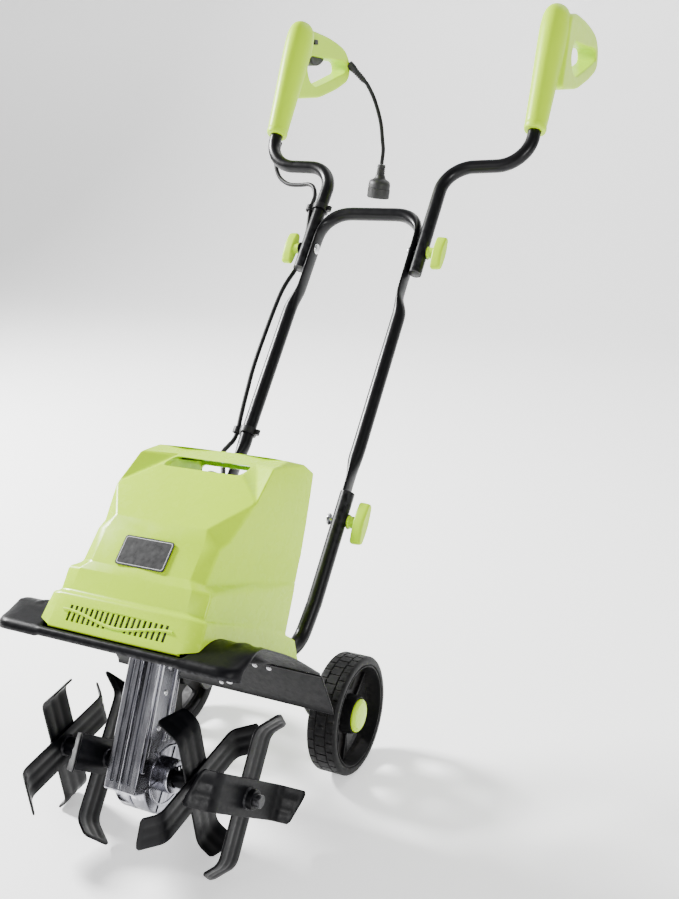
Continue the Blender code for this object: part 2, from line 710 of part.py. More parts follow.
def tube_sizes(rows):
    out = []
    for _, flat in rows:
        out.append((TUBE_R + (FLAT_R - TUBE_R) * flat, TUBE_R + (FLAT_W - TUBE_R) * flat))
    return out


left_rows = middle_half(-1)
right_rows = middle_half(1)
rows = left_rows + list(reversed(right_rows))
pivot = (0, LOWER_BOLT[0], LOWER_BOLT[1])
pipe([p for p, _ in rows], tube_sizes(rows), LEAN_NORMAL, name="middle_tube", origin=pivot)

for side, sx in SIDES:
    # Upper tube: straight beside the middle leg, then a sweeping S outwards into the grip.
    slope = 0.84
    low = Vector((sx * UPPER_X, UPPER_BOLT[0] - slope * 0.0285, UPPER_BOLT[1] - 0.0285))
    turn = Vector((sx * UPPER_X, 0.6825, 0.7670))
    turn_2 = Vector((sx * GRIP_X, 0.6885, 0.7715))
    grip_end = Vector((sx * GRIP_X, 0.7170, 0.8185))
    top = grip_end + Vector((0, math.sin(GRIP_LEAN), math.cos(GRIP_LEAN))) * 0.060
    path = fillet([low, turn, turn_2, grip_end, top], [0.046, 0.050, 0.060], 5)
    sizes = [(TUBE_R, TUBE_R)] * len(path)
    hinge = (0, UPPER_BOLT[0], UPPER_BOLT[1])
    pipe(path, sizes, LEAN_NORMAL, name="upper_tube_" + side, origin=hinge)

    # Lower tube: down to a bend behind the hood, then forward along the deck.
    foot = head_point(sx * 0.0960, 0.055, 0.1607)
    corner = head_point(sx * 0.1000, 0.117, 0.1600)
    knee = Vector((sx * LOWER_X, 0.5156 + 0.8314 * (0.240 - 0.6), 0.240))
    crown = Vector((sx * LOWER_X, 0.5156 + 0.8314 * (0.359 - 0.6), 0.359))
    arc = fillet([foot, corner, knee, crown], [0.040, 0.0], 6)
    sizes = [(TUBE_R, TUBE_R)] * len(arc)
    pipe(arc, sizes, (1, 0, 0), name="lower_tube_" + side)


def through(name, x0, x1, centre, radius):
    lo, hi = sorted((x0, x1))
    hole = rod(radius, lo, hi, "X", (0, centre[0], centre[1]), 16)
    cut(bpy.data.objects[name], link("c", hole, None, WORLD))


for side, sx in SIDES:
    through("middle_tube", 0.070 * sx, 0.095 * sx, UPPER_BOLT, BOLT_R + GAP)
    through("upper_tube_" + side, 0.080 * sx, 0.120 * sx, UPPER_BOLT, BOLT_R + GAP)
    through("middle_tube", 0.080 * sx, 0.0944 * sx, LOWER_BOLT, BOLT_R + GAP)
    through("lower_tube_" + side, 0.090 * sx, 0.130 * sx, LOWER_BOLT, BOLT_R + GAP)

# Carriage bolts with domed heads on the inner side, and wing knobs on the outer side.
JOINTS = (("upper", UPPER_BOLT, FLAT_X - FLAT_R, UPPER_X + TUBE_R),
          ("lower", LOWER_BOLT, LOW_FLAT_X - FLAT_R, LOWER_X + TUBE_R))


def wing(length, sx, start):
    """Wing knob outline in the (y, z) plane, turned to lie along the handle."""
    half = length / 2
    outline = [(-half, -0.0045), (-half * 0.45, -0.0085), (0, -0.0100), (half * 0.45, -0.0085),
               (half, -0.0045), (half, 0.0045), (half * 0.45, 0.0085), (0, 0.0100),
               (-half * 0.45, 0.0085), (-half, 0.0045)]
    lo, hi = sorted((start * sx, (start + 0.0150) * sx))
    bm = bevel(prism(outline, lo, hi), 0.0018, 1)
    bmesh.ops.rotate(bm, verts=bm.verts, cent=(0, 0, 0), matrix=Matrix.Rotation(math.radians(54), 3, "X"))
    return bm


for level, centre, x_head, x_knob in JOINTS:
    for side, sx in SIDES:
        c = (0, centre[0], centre[1])
        x0 = x_head - GAP
        outline = [(0, sx * (x0 - 0.0034)), (0.0040, sx * (x0 - 0.0031)), (0.0070, sx * (x0 - 0.0016)),
                   (0.0080, sx * x0), (BOLT_R, sx * x0), (BOLT_R, sx * (x_knob + 0.0130)),
                   (0, sx * (x_knob + 0.0130))]
        link("bolt_" + level + "_" + side, revolved(outline, "X", c, 20), "steel", WORLD, c)
        start = x_knob + GAP
        n0, n1 = sorted((start * sx, (start + 0.0125) * sx))
        knob = link("knob_" + level + "_" + side, rod(0.0080, n0, n1, "X", (0, 0, 0), 20, 0.0006), "lime",
                    WORLD @ Matrix.Translation(c))
        length = 0.052 if level == "upper" else 0.057
        join(knob, link("c", wing(length, sx, start + 0.0105), None, WORLD @ Matrix.Translation(c)))
        k0, k1 = sorted(((start - 0.005) * sx, (x_knob + 0.0135) * sx))
        bore = rod(BOLT_R + GAP, k0, k1, "X", (0, 0, 0), 16)
        cut(knob, link("c", bore, None, WORLD @ Matrix.Translation(c)))

# ---------------------------------------------------------------- grips

SECTIONS = ((0.0000, 0.0162, 0.0178), (0.0080, 0.0172, 0.0190), (0.0120, 0.0166, 0.0184),
            (0.0700, 0.0184, 0.0222), (0.1250, 0.0208, 0.0258), (0.1650, 0.0222, 0.0270),
            (0.1890, 0.0212, 0.0255), (0.2020, 0.0170, 0.0200), (0.2085, 0.0090, 0.0105))


def bar_rings(sx, thin, low, high, count=16):
    rings = []
    along = Vector((0, math.sin(GRIP_LEAN), math.cos(GRIP_LEAN)))
    deep = Vector((0, math.cos(GRIP_LEAN), -math.sin(GRIP_LEAN)))
    base = Vector((sx * GRIP_X, 0.7170, 0.8185))
    for t, a, b in SECTIONS:
        if t < low or t > high:
            continue
        ring_points = []
        for i in range(count):
            turn = 2 * math.pi * (i + 0.5) / count
            point = base + along * t + deep * ((b - thin) * math.sin(turn))
            ring_points.append(point + Vector(((a - thin) * math.cos(turn), 0, 0)))
        rings.append(ring_points)
    return rings


LOOP_OUT = [(0.8080, 0.9880), (0.8400, 0.9925), (0.8527, 0.9918), (0.8989, 0.9865), (0.9379, 0.9785),
            (0.9640, 0.9700), (0.9785, 0.9570), (0.9840, 0.9400), (0.9810, 0.9230), (0.9700, 0.9130),
            (0.9300, 0.8990), (0.8636, 0.8830), (0.7818, 0.8790), (0.7680, 0.8830), (0.7860, 0.9300)]
LOOP_IN = [(0.8320, 0.9520), (0.9000, 0.9500), (0.9550, 0.9500), (0.9660, 0.9450), (0.9670, 0.9300),
           (0.9600, 0.9228), (0.9000, 0.9052), (0.8500, 0.8905), (0.8380, 0.8960), (0.8280, 0.9250)]
LOOP_X = (0.2125, 0.2445)

for side, sx in SIDES:
    hinge = (0, UPPER_BOLT[0], UPPER_BOLT[1])
    grip = link("grip_" + side, loft(bar_rings(sx, 0.0, 0.0, 1.0)), "lime", WORLD, hinge)
    lo, hi = sorted((sx * LOOP_X[0], sx * LOOP_X[1]))
    join(grip, link("c", bevel(prism(LOOP_OUT, lo, hi), 0.0030, 1), None, WORLD))
    lo, hi = sorted((sx * 0.1800, sx * 0.2700))
    cut(grip, link("c", prism(LOOP_IN, lo, hi), None, WORLD))
    cut(grip, link("c", loft(bar_rings(sx, 0.0035, 0.0690, 0.1900, 12)), None, WORLD))
    base = Vector((sx * GRIP_X, 0.7170, 0.8185))
    along = Vector((0, math.sin(GRIP_LEAN), math.cos(GRIP_LEAN)))
    spin = Matrix.Translation(base) @ Matrix.Rotation(-GRIP_LEAN, 4, "X")
    cut(grip, link("c", rod(TUBE_R + GAP, -0.02, 0.075, "Z", (0, 0, 0), 24), None, WORLD @ spin))


# Trigger under the left grip's housing, the lock button on its inner side and the switch inside.
left_hinge = (0, UPPER_BOLT[0], UPPER_BOLT[1])
SWITCH = (0.8340, 0.9040, 0.9560, 0.9782)
left_grip = bpy.data.objects["grip_left"]
cut(left_grip, link("c", box(-0.2405, -0.2175, SWITCH[0], SWITCH[1], SWITCH[2], SWITCH[3]), None, WORLD))
cut(left_grip, link("c", box(-0.2352, -0.2218, 0.8455, 0.8975, 0.9400, 0.9570), None, WORLD))
switch_shape = bevel(box(-0.2400, -0.2182, 0.8365, 0.9015, 0.9680, 0.9775), 0.001, 1)
link("switch_block", switch_shape, "black_plastic", WORLD)
TRIGGER_PIVOT = (-0.2285, 0.8485, 0.9600)
trigger_outline = [(0.8463, 0.9625), (0.8463, 0.9500), (0.8500, 0.9400), (0.8580, 0.9362), (0.8720, 0.9370),
                   (0.8850, 0.9405), (0.8960, 0.9470), (0.8960, 0.9625)]
trigger = link("trigger", bevel(prism(trigger_outline, -0.2348, -0.2222), 0.0012, 1), "black_plastic", WORLD,
               TRIGGER_PIVOT)
LOCK = (0.8440, 0.9735)
cut(left_grip, link("c", box(-0.2185, -0.2075, LOCK[0] - 0.0063, LOCK[0] + 0.0063, LOCK[1] - 0.0043,
                             LOCK[1] + 0.0043), None, WORLD))
lock_shape = box(-0.2156, -0.2085, LOCK[0] - 0.0060, LOCK[0] + 0.0060, LOCK[1] - 0.0040, LOCK[1] + 0.0040)
lock = link("lock_button", bevel(lock_shape, 0.0008, 1), "black_plastic", WORLD, (-0.2120, LOCK[0], LOCK[1]))

# ---------------------------------------------------------------- wheels

PLATE_X = (0.0817, 0.0857)
tail = (WHEEL_Y, WHEEL_R)
for side, sx in SIDES:
    root = head_point(0, 0.104, 0.166)
    root_2 = head_point(0, 0.092, 0.150)
    root_3 = head_point(0, 0.070, 0.168)
    root_4 = head_point(0, 0.070, 0.150)
    outline = [(root_3.y, root_3.z), (root_4.y, root_4.z), (root_2.y, root_2.z)]
    for k in range(7):
        a = math.radians(215 + 30 * k)
        outline.append((tail[0] + 0.014 * math.cos(a), tail[1] + 0.014 * math.sin(a)))
    outline.append((root.y, root.z))
    lo, hi = sorted((PLATE_X[0] * sx, PLATE_X[1] * sx))
    arm = link("wheel_arm_" + side, prism(outline, lo, hi), "black_paint", WORLD)
    cut(arm, link("c", rod(AXLE_R + GAP, lo - 0.01, hi + 0.01, "X", (0, tail[0], tail[1]), 24), None, WORLD))

hub = (0, WHEEL_Y, WHEEL_R)
link("wheel_axle", rod(AXLE_R, -0.1510, 0.1510, "X", hub, 24, 0.0008), "steel", WORLD, hub)
for side, sx in SIDES:
    outline = [(AXLE_R + 0.0001, WHEEL_X_IN), (0.0140, WHEEL_X_IN), (0.0160, 0.1300), (0.0620, 0.1300),
               (0.0640, 0.1180), (0.0740, 0.1160), (WHEEL_R, 0.1190), (WHEEL_R, 0.1520),
               (0.0745, WHEEL_X_OUT),
               (0.0680, WHEEL_X_OUT), (0.0640, 0.1530), (0.0600, 0.1350), (0.0260, 0.1350), (0.0240, 0.1520),
               (0.0228, 0.1520), (0.0225, 0.1460), (AXLE_R + 0.0001, 0.1460)]
    bm = revolved([(r, sx * x) for r, x in outline], "X", hub, 32)
    wheel = link("wheel_" + side, bm, "rubber", WORLD, hub)
    for k in range(5):
        a = 2 * math.pi * k / 5
        gap = [(0.0300, -0.0085), (0.0560, -0.0190), (0.0585, 0.0), (0.0560, 0.0190), (0.0300, 0.0085)]
        window = prism(gap, 0.1250 if sx > 0 else -0.1400, 0.1400 if sx > 0 else -0.1250)
        bmesh.ops.rotate(window, verts=window.verts, cent=(0, 0, 0), matrix=Matrix.Rotation(a, 3, "X"))
        bmesh.ops.translate(window, verts=window.verts, vec=Vector(hub))
        cut(wheel, link("c", window, None, WORLD))
    cap = [(0, 0.1515), (0.0218, 0.1515), (0.0218, 0.1540), (0.0195, 0.1562), (0.0100, 0.1575), (0, 0.1577)]
    link("wheel_cap_" + side, revolved([(r, sx * x) for r, x in cap], "X", hub, 32), "lime", WORLD, hub)

# ---------------------------------------------------------------- clamp, clips and cords

# One strap holds both lower tubes down on the deck.
DECK_TOP = 0.1435 + DECK_T
strap_shape = box(-0.0840, 0.0840, 0.0500, 0.0620, DECK_TOP + GAP, DECK_TOP + 0.0030)
strap = link("tube_clamp", strap_shape, "black_paint", HEAD)

CLIPS = (("upper", Vector((-UPPER_X, 0.6322, 0.7066))), ("lower", lean_point(-MIDDLE_X, -0.2520)))
for level, centre in CLIPS:
    clip = link("cable_clip_" + level, ring(TUBE_R + GAP, 0.0130, -0.0045, 0.0045, "Z", (0, 0, 0), 20),
                "black_plastic", WORLD @ Matrix.Translation(centre) @ Matrix.Rotation(-LEAN, 4, "X"))
    place = WORLD @ Matrix.Translation(centre) @ Matrix.Rotation(-LEAN, 4, "X")
    join(clip, link("c", ring(0.0046, 0.0068, -0.0045, 0.0045, "Z", (-0.0180, 0, 0), 16), None, place))
    join(clip, link("c", rod(0.0036, -0.0040, 0.0040, "Z", (0.0155, 0, 0), 12), None, place))


# Motor cable, one length for each body it rides on. It leaves the grip's lower end, drops behind the
# S bend, is clipped to the upper tube and the middle tube, and runs in behind the hood.
CABLE_R = 0.0034
upper_run = [(-0.2213, 0.7312, 0.8078), (-0.2210, 0.7225, 0.7945), (-0.2185, 0.7100, 0.7730),
             (-0.2095, 0.7020, 0.7560), (-0.1975, 0.6960, 0.7468), (-0.1816, 0.6900, 0.7414),
             (-0.1602, 0.6850, 0.7409), (-0.1408, 0.6800, 0.7420), (-0.1280, 0.6720, 0.7370),
             (-0.1190, 0.6580, 0.7235), (-0.1131, 0.6322, 0.7066), (-0.1096, 0.6160, 0.6780),
             (-0.1094, 0.6060, 0.6610)]
middle_run = [(-0.1094, 0.6054, 0.6600), (-0.1094, 0.5965, 0.6430), (-0.1100, 0.5760, 0.6200),
              (-0.1120, 0.5265, 0.5839), (-0.1120, 0.4532, 0.5025), (-0.1105, 0.4180, 0.4540),
              (-0.1085, 0.3950, 0.4200), (-0.1070, 0.3847, 0.4054), (-0.1075, 0.3735, 0.3935),
              (-0.1070, 0.3620, 0.3900)]
head_run = [(-0.1069, 0.3610, 0.3899), (-0.1000, 0.3300, 0.3840), (-0.0800, 0.3000, 0.3680),
            (-0.0550, 0.2500, 0.3330),
            head_point(-0.0330, 0.1250, 0.2920), head_point(-0.0210, 0.0980, 0.2780),
            head_point(-0.0200, 0.0800, 0.2770), head_point(-0.0200, 0.0600, 0.2770)]
cut(hood, link("c", rod(CABLE_R + 0.0006, 0.050, 0.085, "Y", (-0.0200, 0, 0.2770), 16), None, HEAD))
cord("motor_cable_upper", smooth_path(upper_run, 0.010), CABLE_R, "cable")
cord("motor_cable_middle", smooth_path(middle_run, 0.012), CABLE_R, "cable")
cord("motor_cable_head", smooth_path(head_run, 0.012), CABLE_R, "cable")

# Free lead: a boot on the back of the left grip, a short cord and a plug hanging from it.
boot = [(0.0070, -0.0030), (0.0070, 0.0100), (0.0062, 0.0130), (0.0054, 0.0400), (0, 0.0400), (0, -0.0030)]
BOOT_AT = Vector((-0.2105, 0.9770, 0.9440))
BOOT_WAY = Vector((0.0212, 0.0240, -0.0312)).normalized()
lead = [BOOT_AT + BOOT_WAY * 0.0405, BOOT_AT + BOOT_WAY * 0.0470, Vector((-0.1790, 1.0090, 0.8900)),
        Vector((-0.1690, 1.0080, 0.8647)), Vector((-0.1609, 1.0050, 0.8380)),
        Vector((-0.1569, 1.0020, 0.8111)), Vector((-0.1549, 1.0010, 0.7932)),
        Vector((-0.1566, 1.0000, 0.7760)), Vector((-0.1577, 1.0000, 0.7676))]
turn = BOOT_WAY.to_track_quat("Z", "Y").to_matrix().to_4x4()
seat = rod(0.0073, -0.0033, 0.0410, "Z", (0, 0, 0), 16)
cut(left_grip, link("c", seat, None, WORLD @ Matrix.Translation(BOOT_AT) @ turn))
link("strain_relief", revolved(boot, "Z", (0, 0, 0), 16), "black_plastic",
     WORLD @ Matrix.Translation(BOOT_AT) @ turn)
cord("pigtail_cord", smooth_path(lead, 0.011), 0.0037, "cable")
plug = [(0, 0.0615), (0.0075, 0.0615), (0.0085, 0.0450), (0.0105, 0.0360), (0.0185, 0.0310),
        (0.0205, 0.0250), (0.0210, 0.0040), (0.0195, 0.0), (0, 0.0)]
hang = Matrix.Translation((-0.1656, 1.0000, 0.7058)) @ Matrix.Rotation(0.130, 4, "Y")
link("plug", revolved(plug, "Z", (0, 0, 0), 24), "rubber", WORLD @ hang)
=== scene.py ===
"""Look of the electric tiller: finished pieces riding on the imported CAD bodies, in the same frame."""

import math

import bmesh
import bpy
from mathutils import Matrix
from mathutils import Vector


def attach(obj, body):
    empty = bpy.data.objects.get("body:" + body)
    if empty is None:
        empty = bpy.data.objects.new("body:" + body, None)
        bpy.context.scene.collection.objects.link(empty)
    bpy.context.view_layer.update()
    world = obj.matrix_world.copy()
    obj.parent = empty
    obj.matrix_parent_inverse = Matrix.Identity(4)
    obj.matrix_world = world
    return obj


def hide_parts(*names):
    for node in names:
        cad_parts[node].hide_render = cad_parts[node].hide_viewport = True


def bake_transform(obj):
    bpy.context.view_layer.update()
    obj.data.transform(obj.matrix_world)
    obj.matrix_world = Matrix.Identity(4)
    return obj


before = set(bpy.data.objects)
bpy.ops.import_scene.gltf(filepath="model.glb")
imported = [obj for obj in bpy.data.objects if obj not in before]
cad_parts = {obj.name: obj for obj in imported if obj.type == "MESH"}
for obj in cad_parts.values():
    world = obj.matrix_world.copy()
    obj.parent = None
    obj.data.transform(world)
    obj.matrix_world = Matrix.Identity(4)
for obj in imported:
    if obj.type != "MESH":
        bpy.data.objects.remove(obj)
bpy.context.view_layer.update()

# ---------------------------------------------------------------- dimensions, as in the CAD

MID_Y = 0.445
SHAFT_Z = 0.094
TILT = math.radians(25.0)
HEAD = Matrix.Translation((0, -MID_Y, SHAFT_Z)) @ Matrix.Rotation(-TILT, 4, "X")
WORLD = Matrix.Translation((0, -MID_Y, 0))
FLOOR = Matrix.Translation((0, -MID_Y, SHAFT_Z))
GAP = 0.0003
TUBE_R = 0.01
TUBE_WALL = 0.0015
LEAN = math.atan(0.8228)
LOWER_X = 0.1045
MIDDLE_X = 0.0894
UPPER_X = 0.0955
GRIP_X = 0.2202
GRIP_LEAN = math.atan2(0.108, 0.1889)
FLAT_R = 0.0035
FLAT_W = 0.013
BOLT_R = 0.003
UPPER_BOLT = (0.5838, 0.649)
LOWER_BOLT = (0.296, 0.326)
BLADE_W = 0.042
BLADE_T = 0.003
FOLD_R = 0.0745
TIP_OUT = 0.0265
TINE_REACH = 0.1012
SHAFT_R = 0.0075
HUB_R = 0.0115
MOTOR_U = -0.038
WHEEL_R = 0.0784
WHEEL_Y = 0.2434
AXLE_R = 0.005
SIDES = (("left", -1), ("right", 1))

# ---------------------------------------------------------------- camera, floor and light

VIEW_AZ = math.radians(26.842)
VIEW_EL = math.radians(15.692)
VIEW_ROLL = math.radians(-0.688)
forward = Vector((-math.sin(VIEW_AZ) * math.cos(VIEW_EL), math.cos(VIEW_AZ) * math.cos(VIEW_EL),
                  -math.sin(VIEW_EL)))
level = Vector((math.cos(VIEW_AZ), math.sin(VIEW_AZ), 0))
above = level.cross(forward)
right = level * math.cos(VIEW_ROLL) + above * math.sin(VIEW_ROLL)
up = -level * math.sin(VIEW_ROLL) + above * math.cos(VIEW_ROLL)
camera_data = bpy.data.cameras.new("camera")
camera_data.lens = 43.24
camera_data.sensor_width = 36.0
camera_data.clip_start = 0.02
camera_data.clip_end = 200.0
camera = bpy.data.objects.new("camera", camera_data)
bpy.context.collection.objects.link(camera)
basis = Matrix((right, up, -forward)).transposed().to_4x4()
camera.matrix_world = Matrix.Translation((0.71, -0.9035 - MID_Y, 0.8011)) @ basis
bpy.context.scene.camera = camera

# ---------------------------------------------------------------- materials


def new_nodes(name):
    mat = bpy.data.materials.new(name)
    mat.use_nodes = True
    tree = mat.node_tree
    return mat, tree, tree.nodes["Principled BSDF"]


def noise(tree, where, scale, detail=4.0, stretch=(1, 1, 1), rough=0.55):
    """Noise in object space, stretched per axis."""
    place = tree.nodes.new("ShaderNodeMapping")
    place.inputs["Scale"].default_value = stretch
    tree.links.new(where.outputs["Object"], place.inputs["Vector"])
    node = tree.nodes.new("ShaderNodeTexNoise")
    node.inputs["Scale"].default_value = scale
    node.inputs["Detail"].default_value = detail
    node.inputs["Roughness"].default_value = rough
    tree.links.new(place.outputs["Vector"], node.inputs["Vector"])
    return node.outputs["Fac"]


def spread(tree, value, low, high, to_low, to_high):
    node = tree.nodes.new("ShaderNodeMapRange")
    node.inputs["From Min"].default_value = low
    node.inputs["From Max"].default_value = high
    node.inputs["To Min"].default_value = to_low
    node.inputs["To Max"].default_value = to_high
    tree.links.new(value, node.inputs["Value"])
    return node.outputs["Result"]


def blend_colour(tree, factor, one, two):
    node = tree.nodes.new("ShaderNodeMix")
    node.data_type = "RGBA"
    tree.links.new(factor, node.inputs["Factor"])
    for socket, colour in ((node.inputs[6], one), (node.inputs[7], two)):
        if isinstance(colour, tuple):
            socket.default_value = (colour[0], colour[1], colour[2], 1.0)
        else:
            tree.links.new(colour, socket)
    return node.outputs[2]


def finish_of(name, colour, rough, metal=0.0, grain=600.0, grain_depth=0.00003, wave=14.0, tone=0.06,
              rough_var=0.1, coat=0.0, edge=None, edge_from=0.53, edge_to=0.6, dust_and_shade=None, dust_and_shade_share=0.3,
              stretch=(1, 1, 1), specular=0.5):
    """Moulded, painted or machined surface: mottled and finely bumped, with an edge colour on its ridges and a
    fold colour in its hollows. The fold colour is dust on the dark sheet, tines and tyres, a darker grey in the
    cast aluminium, and on the lime plastic a darker lime that is painted shade; the edge colour is wear on the
    dark and metal finishes, and on the lime plastic a lighter lime that is painted highlight.
    """
    mat, tree, shader = new_nodes(name)
    where = tree.nodes.new("ShaderNodeTexCoord")
    broad = noise(tree, where, wave, 3.0)
    fine = noise(tree, where, grain, 2.0, stretch)
    middle = noise(tree, where, wave * 7, 5.0, stretch)
    dark = tuple(max(c * (1 - tone), 0.0) for c in colour)
    light = tuple(min(c * (1 + tone), 1.0) for c in colour)
    base = blend_colour(tree, spread(tree, broad, 0.3, 0.7, 0.0, 1.0), dark, light)
    gloss = spread(tree, middle, 0.25, 0.75, max(rough - rough_var, 0.04), min(rough + rough_var, 1.0))
    if dust_and_shade or edge:
        shape = tree.nodes.new("ShaderNodeNewGeometry").outputs["Pointiness"]
    # Fold colour in the hollows: dust on the sheet, tines and tyres, a darker grey in the cast aluminium, and on
    # the lime plastic a darker lime that is painted shade.
    if dust_and_shade:
        hollow = spread(tree, shape, 0.5, 0.44, 0.0, 1.0)
        dust_and_shade_mask = tree.nodes.new("ShaderNodeMath")
        dust_and_shade_mask.operation = "MULTIPLY"
        tree.links.new(hollow, dust_and_shade_mask.inputs[0])
        tree.links.new(spread(tree, middle, 0.4, 0.62, 0.0, dust_and_shade_share), dust_and_shade_mask.inputs[1])
        base = blend_colour(tree, dust_and_shade_mask.outputs[0], base, dust_and_shade)
    # Edge colour on the ridges: wear on the dark and metal finishes, and on the lime plastic a lighter lime that
    # is painted highlight.
    if edge:
        ridge = spread(tree, shape, edge_from, edge_to, 0.0, 1.0)
        wear_and_highlight_mask = tree.nodes.new("ShaderNodeMath")
        wear_and_highlight_mask.operation = "MULTIPLY"
        tree.links.new(ridge, wear_and_highlight_mask.inputs[0])
        tree.links.new(spread(tree, middle, 0.42, 0.6, 0.0, 0.8), wear_and_highlight_mask.inputs[1])
        base = blend_colour(tree, wear_and_highlight_mask.outputs[0], base, edge)
    tree.links.new(base, shader.inputs["Base Color"])
    tree.links.new(gloss, shader.inputs["Roughness"])
    shader.inputs["Metallic"].default_value = metal
    shader.inputs["Specular IOR Level"].default_value = specular
    shader.inputs["Coat Weight"].default_value = coat
    shader.inputs["Coat Roughness"].default_value = 0.12
    bump = tree.nodes.new("ShaderNodeBump")
    bump.inputs["Strength"].default_value = 1.0
    bump.inputs["Distance"].default_value = grain_depth
    tree.links.new(fine, bump.inputs["Height"])
    tree.links.new(bump.outputs["Normal"], shader.inputs["Normal"])
    return mat


# The lime plastic's darker fold colour is painted shade and its lighter edge colour is painted highlight.
LIME = finish_of("lime_plastic", (0.46, 0.72, 0.0), 0.27, specular=0.25, grain=900.0, grain_depth=0.000012,
                 wave=9.0, tone=0.025, rough_var=0.05, edge=(0.56, 0.82, 0.02), dust_and_shade=(0.26, 0.4, 0.006),
                 dust_and_shade_share=0.35)
# The lime grip's darker fold colour is painted shade and its lighter edge colour is painted highlight.
LIME_GRIP = finish_of("lime_grip", (0.42, 0.66, 0.0), 0.38, specular=0.22, grain=1500.0, wave=12.0, tone=0.03,
                      rough_var=0.07, edge=(0.46, 0.68, 0.03), dust_and_shade=(0.25, 0.39, 0.008), dust_and_shade_share=0.4)
BLACK = finish_of("black_plastic", (0.0035, 0.0035, 0.004), 0.4, specular=0.3, grain=1400.0,
                  grain_depth=0.00005, wave=25.0, tone=0.25, edge=(0.05, 0.05, 0.052))
PAINT = finish_of("powder_coat", (0.002, 0.002, 0.0026), 0.36, specular=0.16, grain=750.0, wave=18.0,
                  tone=0.25, rough_var=0.09, coat=0.1, edge=(0.045, 0.045, 0.05), edge_from=0.56,
                  edge_to=0.66)
SHEET = finish_of("sheet_coat", (0.0022, 0.0022, 0.003), 0.4, specular=0.1, grain=900.0, grain_depth=0.00008,
                  wave=22.0, tone=0.3, rough_var=0.12, edge=(0.04, 0.04, 0.043), dust_and_shade=(0.014, 0.012, 0.011),
                  dust_and_shade_share=0.4)
BLADE = finish_of("tine_coat", (0.002, 0.002, 0.0028), 0.36, specular=0.12, grain=500.0, grain_depth=0.00004,
                  wave=30.0, tone=0.35, edge=(0.05, 0.05, 0.055), edge_from=0.56, edge_to=0.66,
                  dust_and_shade=(0.02, 0.018, 0.015), dust_and_shade_share=0.3)
CAST = finish_of("cast_aluminium", (0.36, 0.36, 0.4), 0.2, 1.0, grain=420.0, grain_depth=0.000012, wave=24.0,
                 tone=0.12, rough_var=0.07, edge=(0.85, 0.85, 0.88), dust_and_shade=(0.05, 0.05, 0.06), dust_and_shade_share=0.8,
                 stretch=(1, 1, 0.2))
STEEL = finish_of("zinc_steel", (0.58, 0.58, 0.6), 0.26, 1.0, grain=700.0, wave=60.0, tone=0.12,
                  edge=(0.8, 0.8, 0.82))
CORE = finish_of("lamination_steel", (0.33, 0.33, 0.35), 0.42, 1.0, grain=1200.0, grain_depth=0.0002,
                 wave=40.0, tone=0.15, stretch=(0.05, 0.05, 3.0))
OXIDE = finish_of("black_oxide", (0.02, 0.02, 0.022), 0.32, 0.6, grain=700.0, wave=50.0,
                  tone=0.25, rough_var=0.08, edge=(0.1, 0.1, 0.11))
BRONZE = finish_of("bronze", (0.55, 0.36, 0.14), 0.32, 1.0, grain=500.0, grain_depth=0.00006, wave=40.0,
                   tone=0.15)
RUBBER = finish_of("tyre_plastic", (0.003, 0.003, 0.0033), 0.52, specular=0.12, grain=800.0,
                   grain_depth=0.0001, wave=28.0, tone=0.3, edge=(0.05, 0.05, 0.05), dust_and_shade=(0.05, 0.045, 0.04),
                   dust_and_shade_share=0.5)
SOFT = finish_of("soft_rubber", (0.005, 0.005, 0.0054), 0.55, grain=1100.0, grain_depth=0.00006, wave=30.0,
                 tone=0.25, rough_var=0.08)
CABLE = finish_of("cable_sheath", (0.0035, 0.0035, 0.0038), 0.45, specular=0.2, grain=1800.0, wave=50.0,
                  tone=0.25, rough_var=0.08)
DARK_GLOSS = finish_of("plate_face", (0.004, 0.004, 0.0048), 0.3, grain=2500.0, grain_depth=0.00001,
                       wave=20.0, tone=0.15, rough_var=0.05, coat=0.2)
PRINT = finish_of("plate_rule", (0.62, 0.63, 0.64), 0.4, grain=2500.0, grain_depth=0.00001, wave=20.0,
                  tone=0.05)

floor_mat, floor_tree, floor_shader = new_nodes("studio_floor")
floor_shader.inputs["Base Color"].default_value = (0.9, 0.9, 0.9, 1.0)
floor_shader.inputs["Roughness"].default_value = 0.8
floor_shader.inputs["Emission Color"].default_value = (1.0, 1.0, 1.0, 1.0)
floor_shader.inputs["Emission Strength"].default_value = 0.62
# Seamless sheet: flat under the machine, then turned up behind it.
sheet_line = [(-9.0, 0.0), (3.2, 0.0)]
sheet_line += [(3.2 + 1.5 * math.sin(math.pi / 2 * i / 12), 1.5 - 1.5 * math.cos(math.pi / 2 * i / 12))
               for i in range(1, 13)]
sheet_line.append((4.7, 7.0))
floor_mesh = bpy.data.meshes.new("studio_floor")
floor_bm = bmesh.new()
edges = [[floor_bm.verts.new((x, y, z - 0.0004)) for y, z in sheet_line] for x in (-9.0, 9.0)]
for k in range(len(sheet_line) - 1):
    floor_bm.faces.new((edges[0][k], edges[1][k], edges[1][k + 1], edges[0][k + 1]))
floor_bm.to_mesh(floor_mesh)
floor_bm.free()
floor_mesh.shade_smooth()
floor = bpy.data.objects.new("studio_floor", floor_mesh)
floor_mesh.materials.append(floor_mat)
bpy.context.collection.objects.link(floor)

world = bpy.data.worlds.new("studio")
world.use_nodes = True
world.node_tree.nodes["Background"].inputs["Color"].default_value = (1.0, 1.0, 1.0, 1.0)
world.node_tree.nodes["Background"].inputs["Strength"].default_value = 0.35
bpy.context.scene.world = world


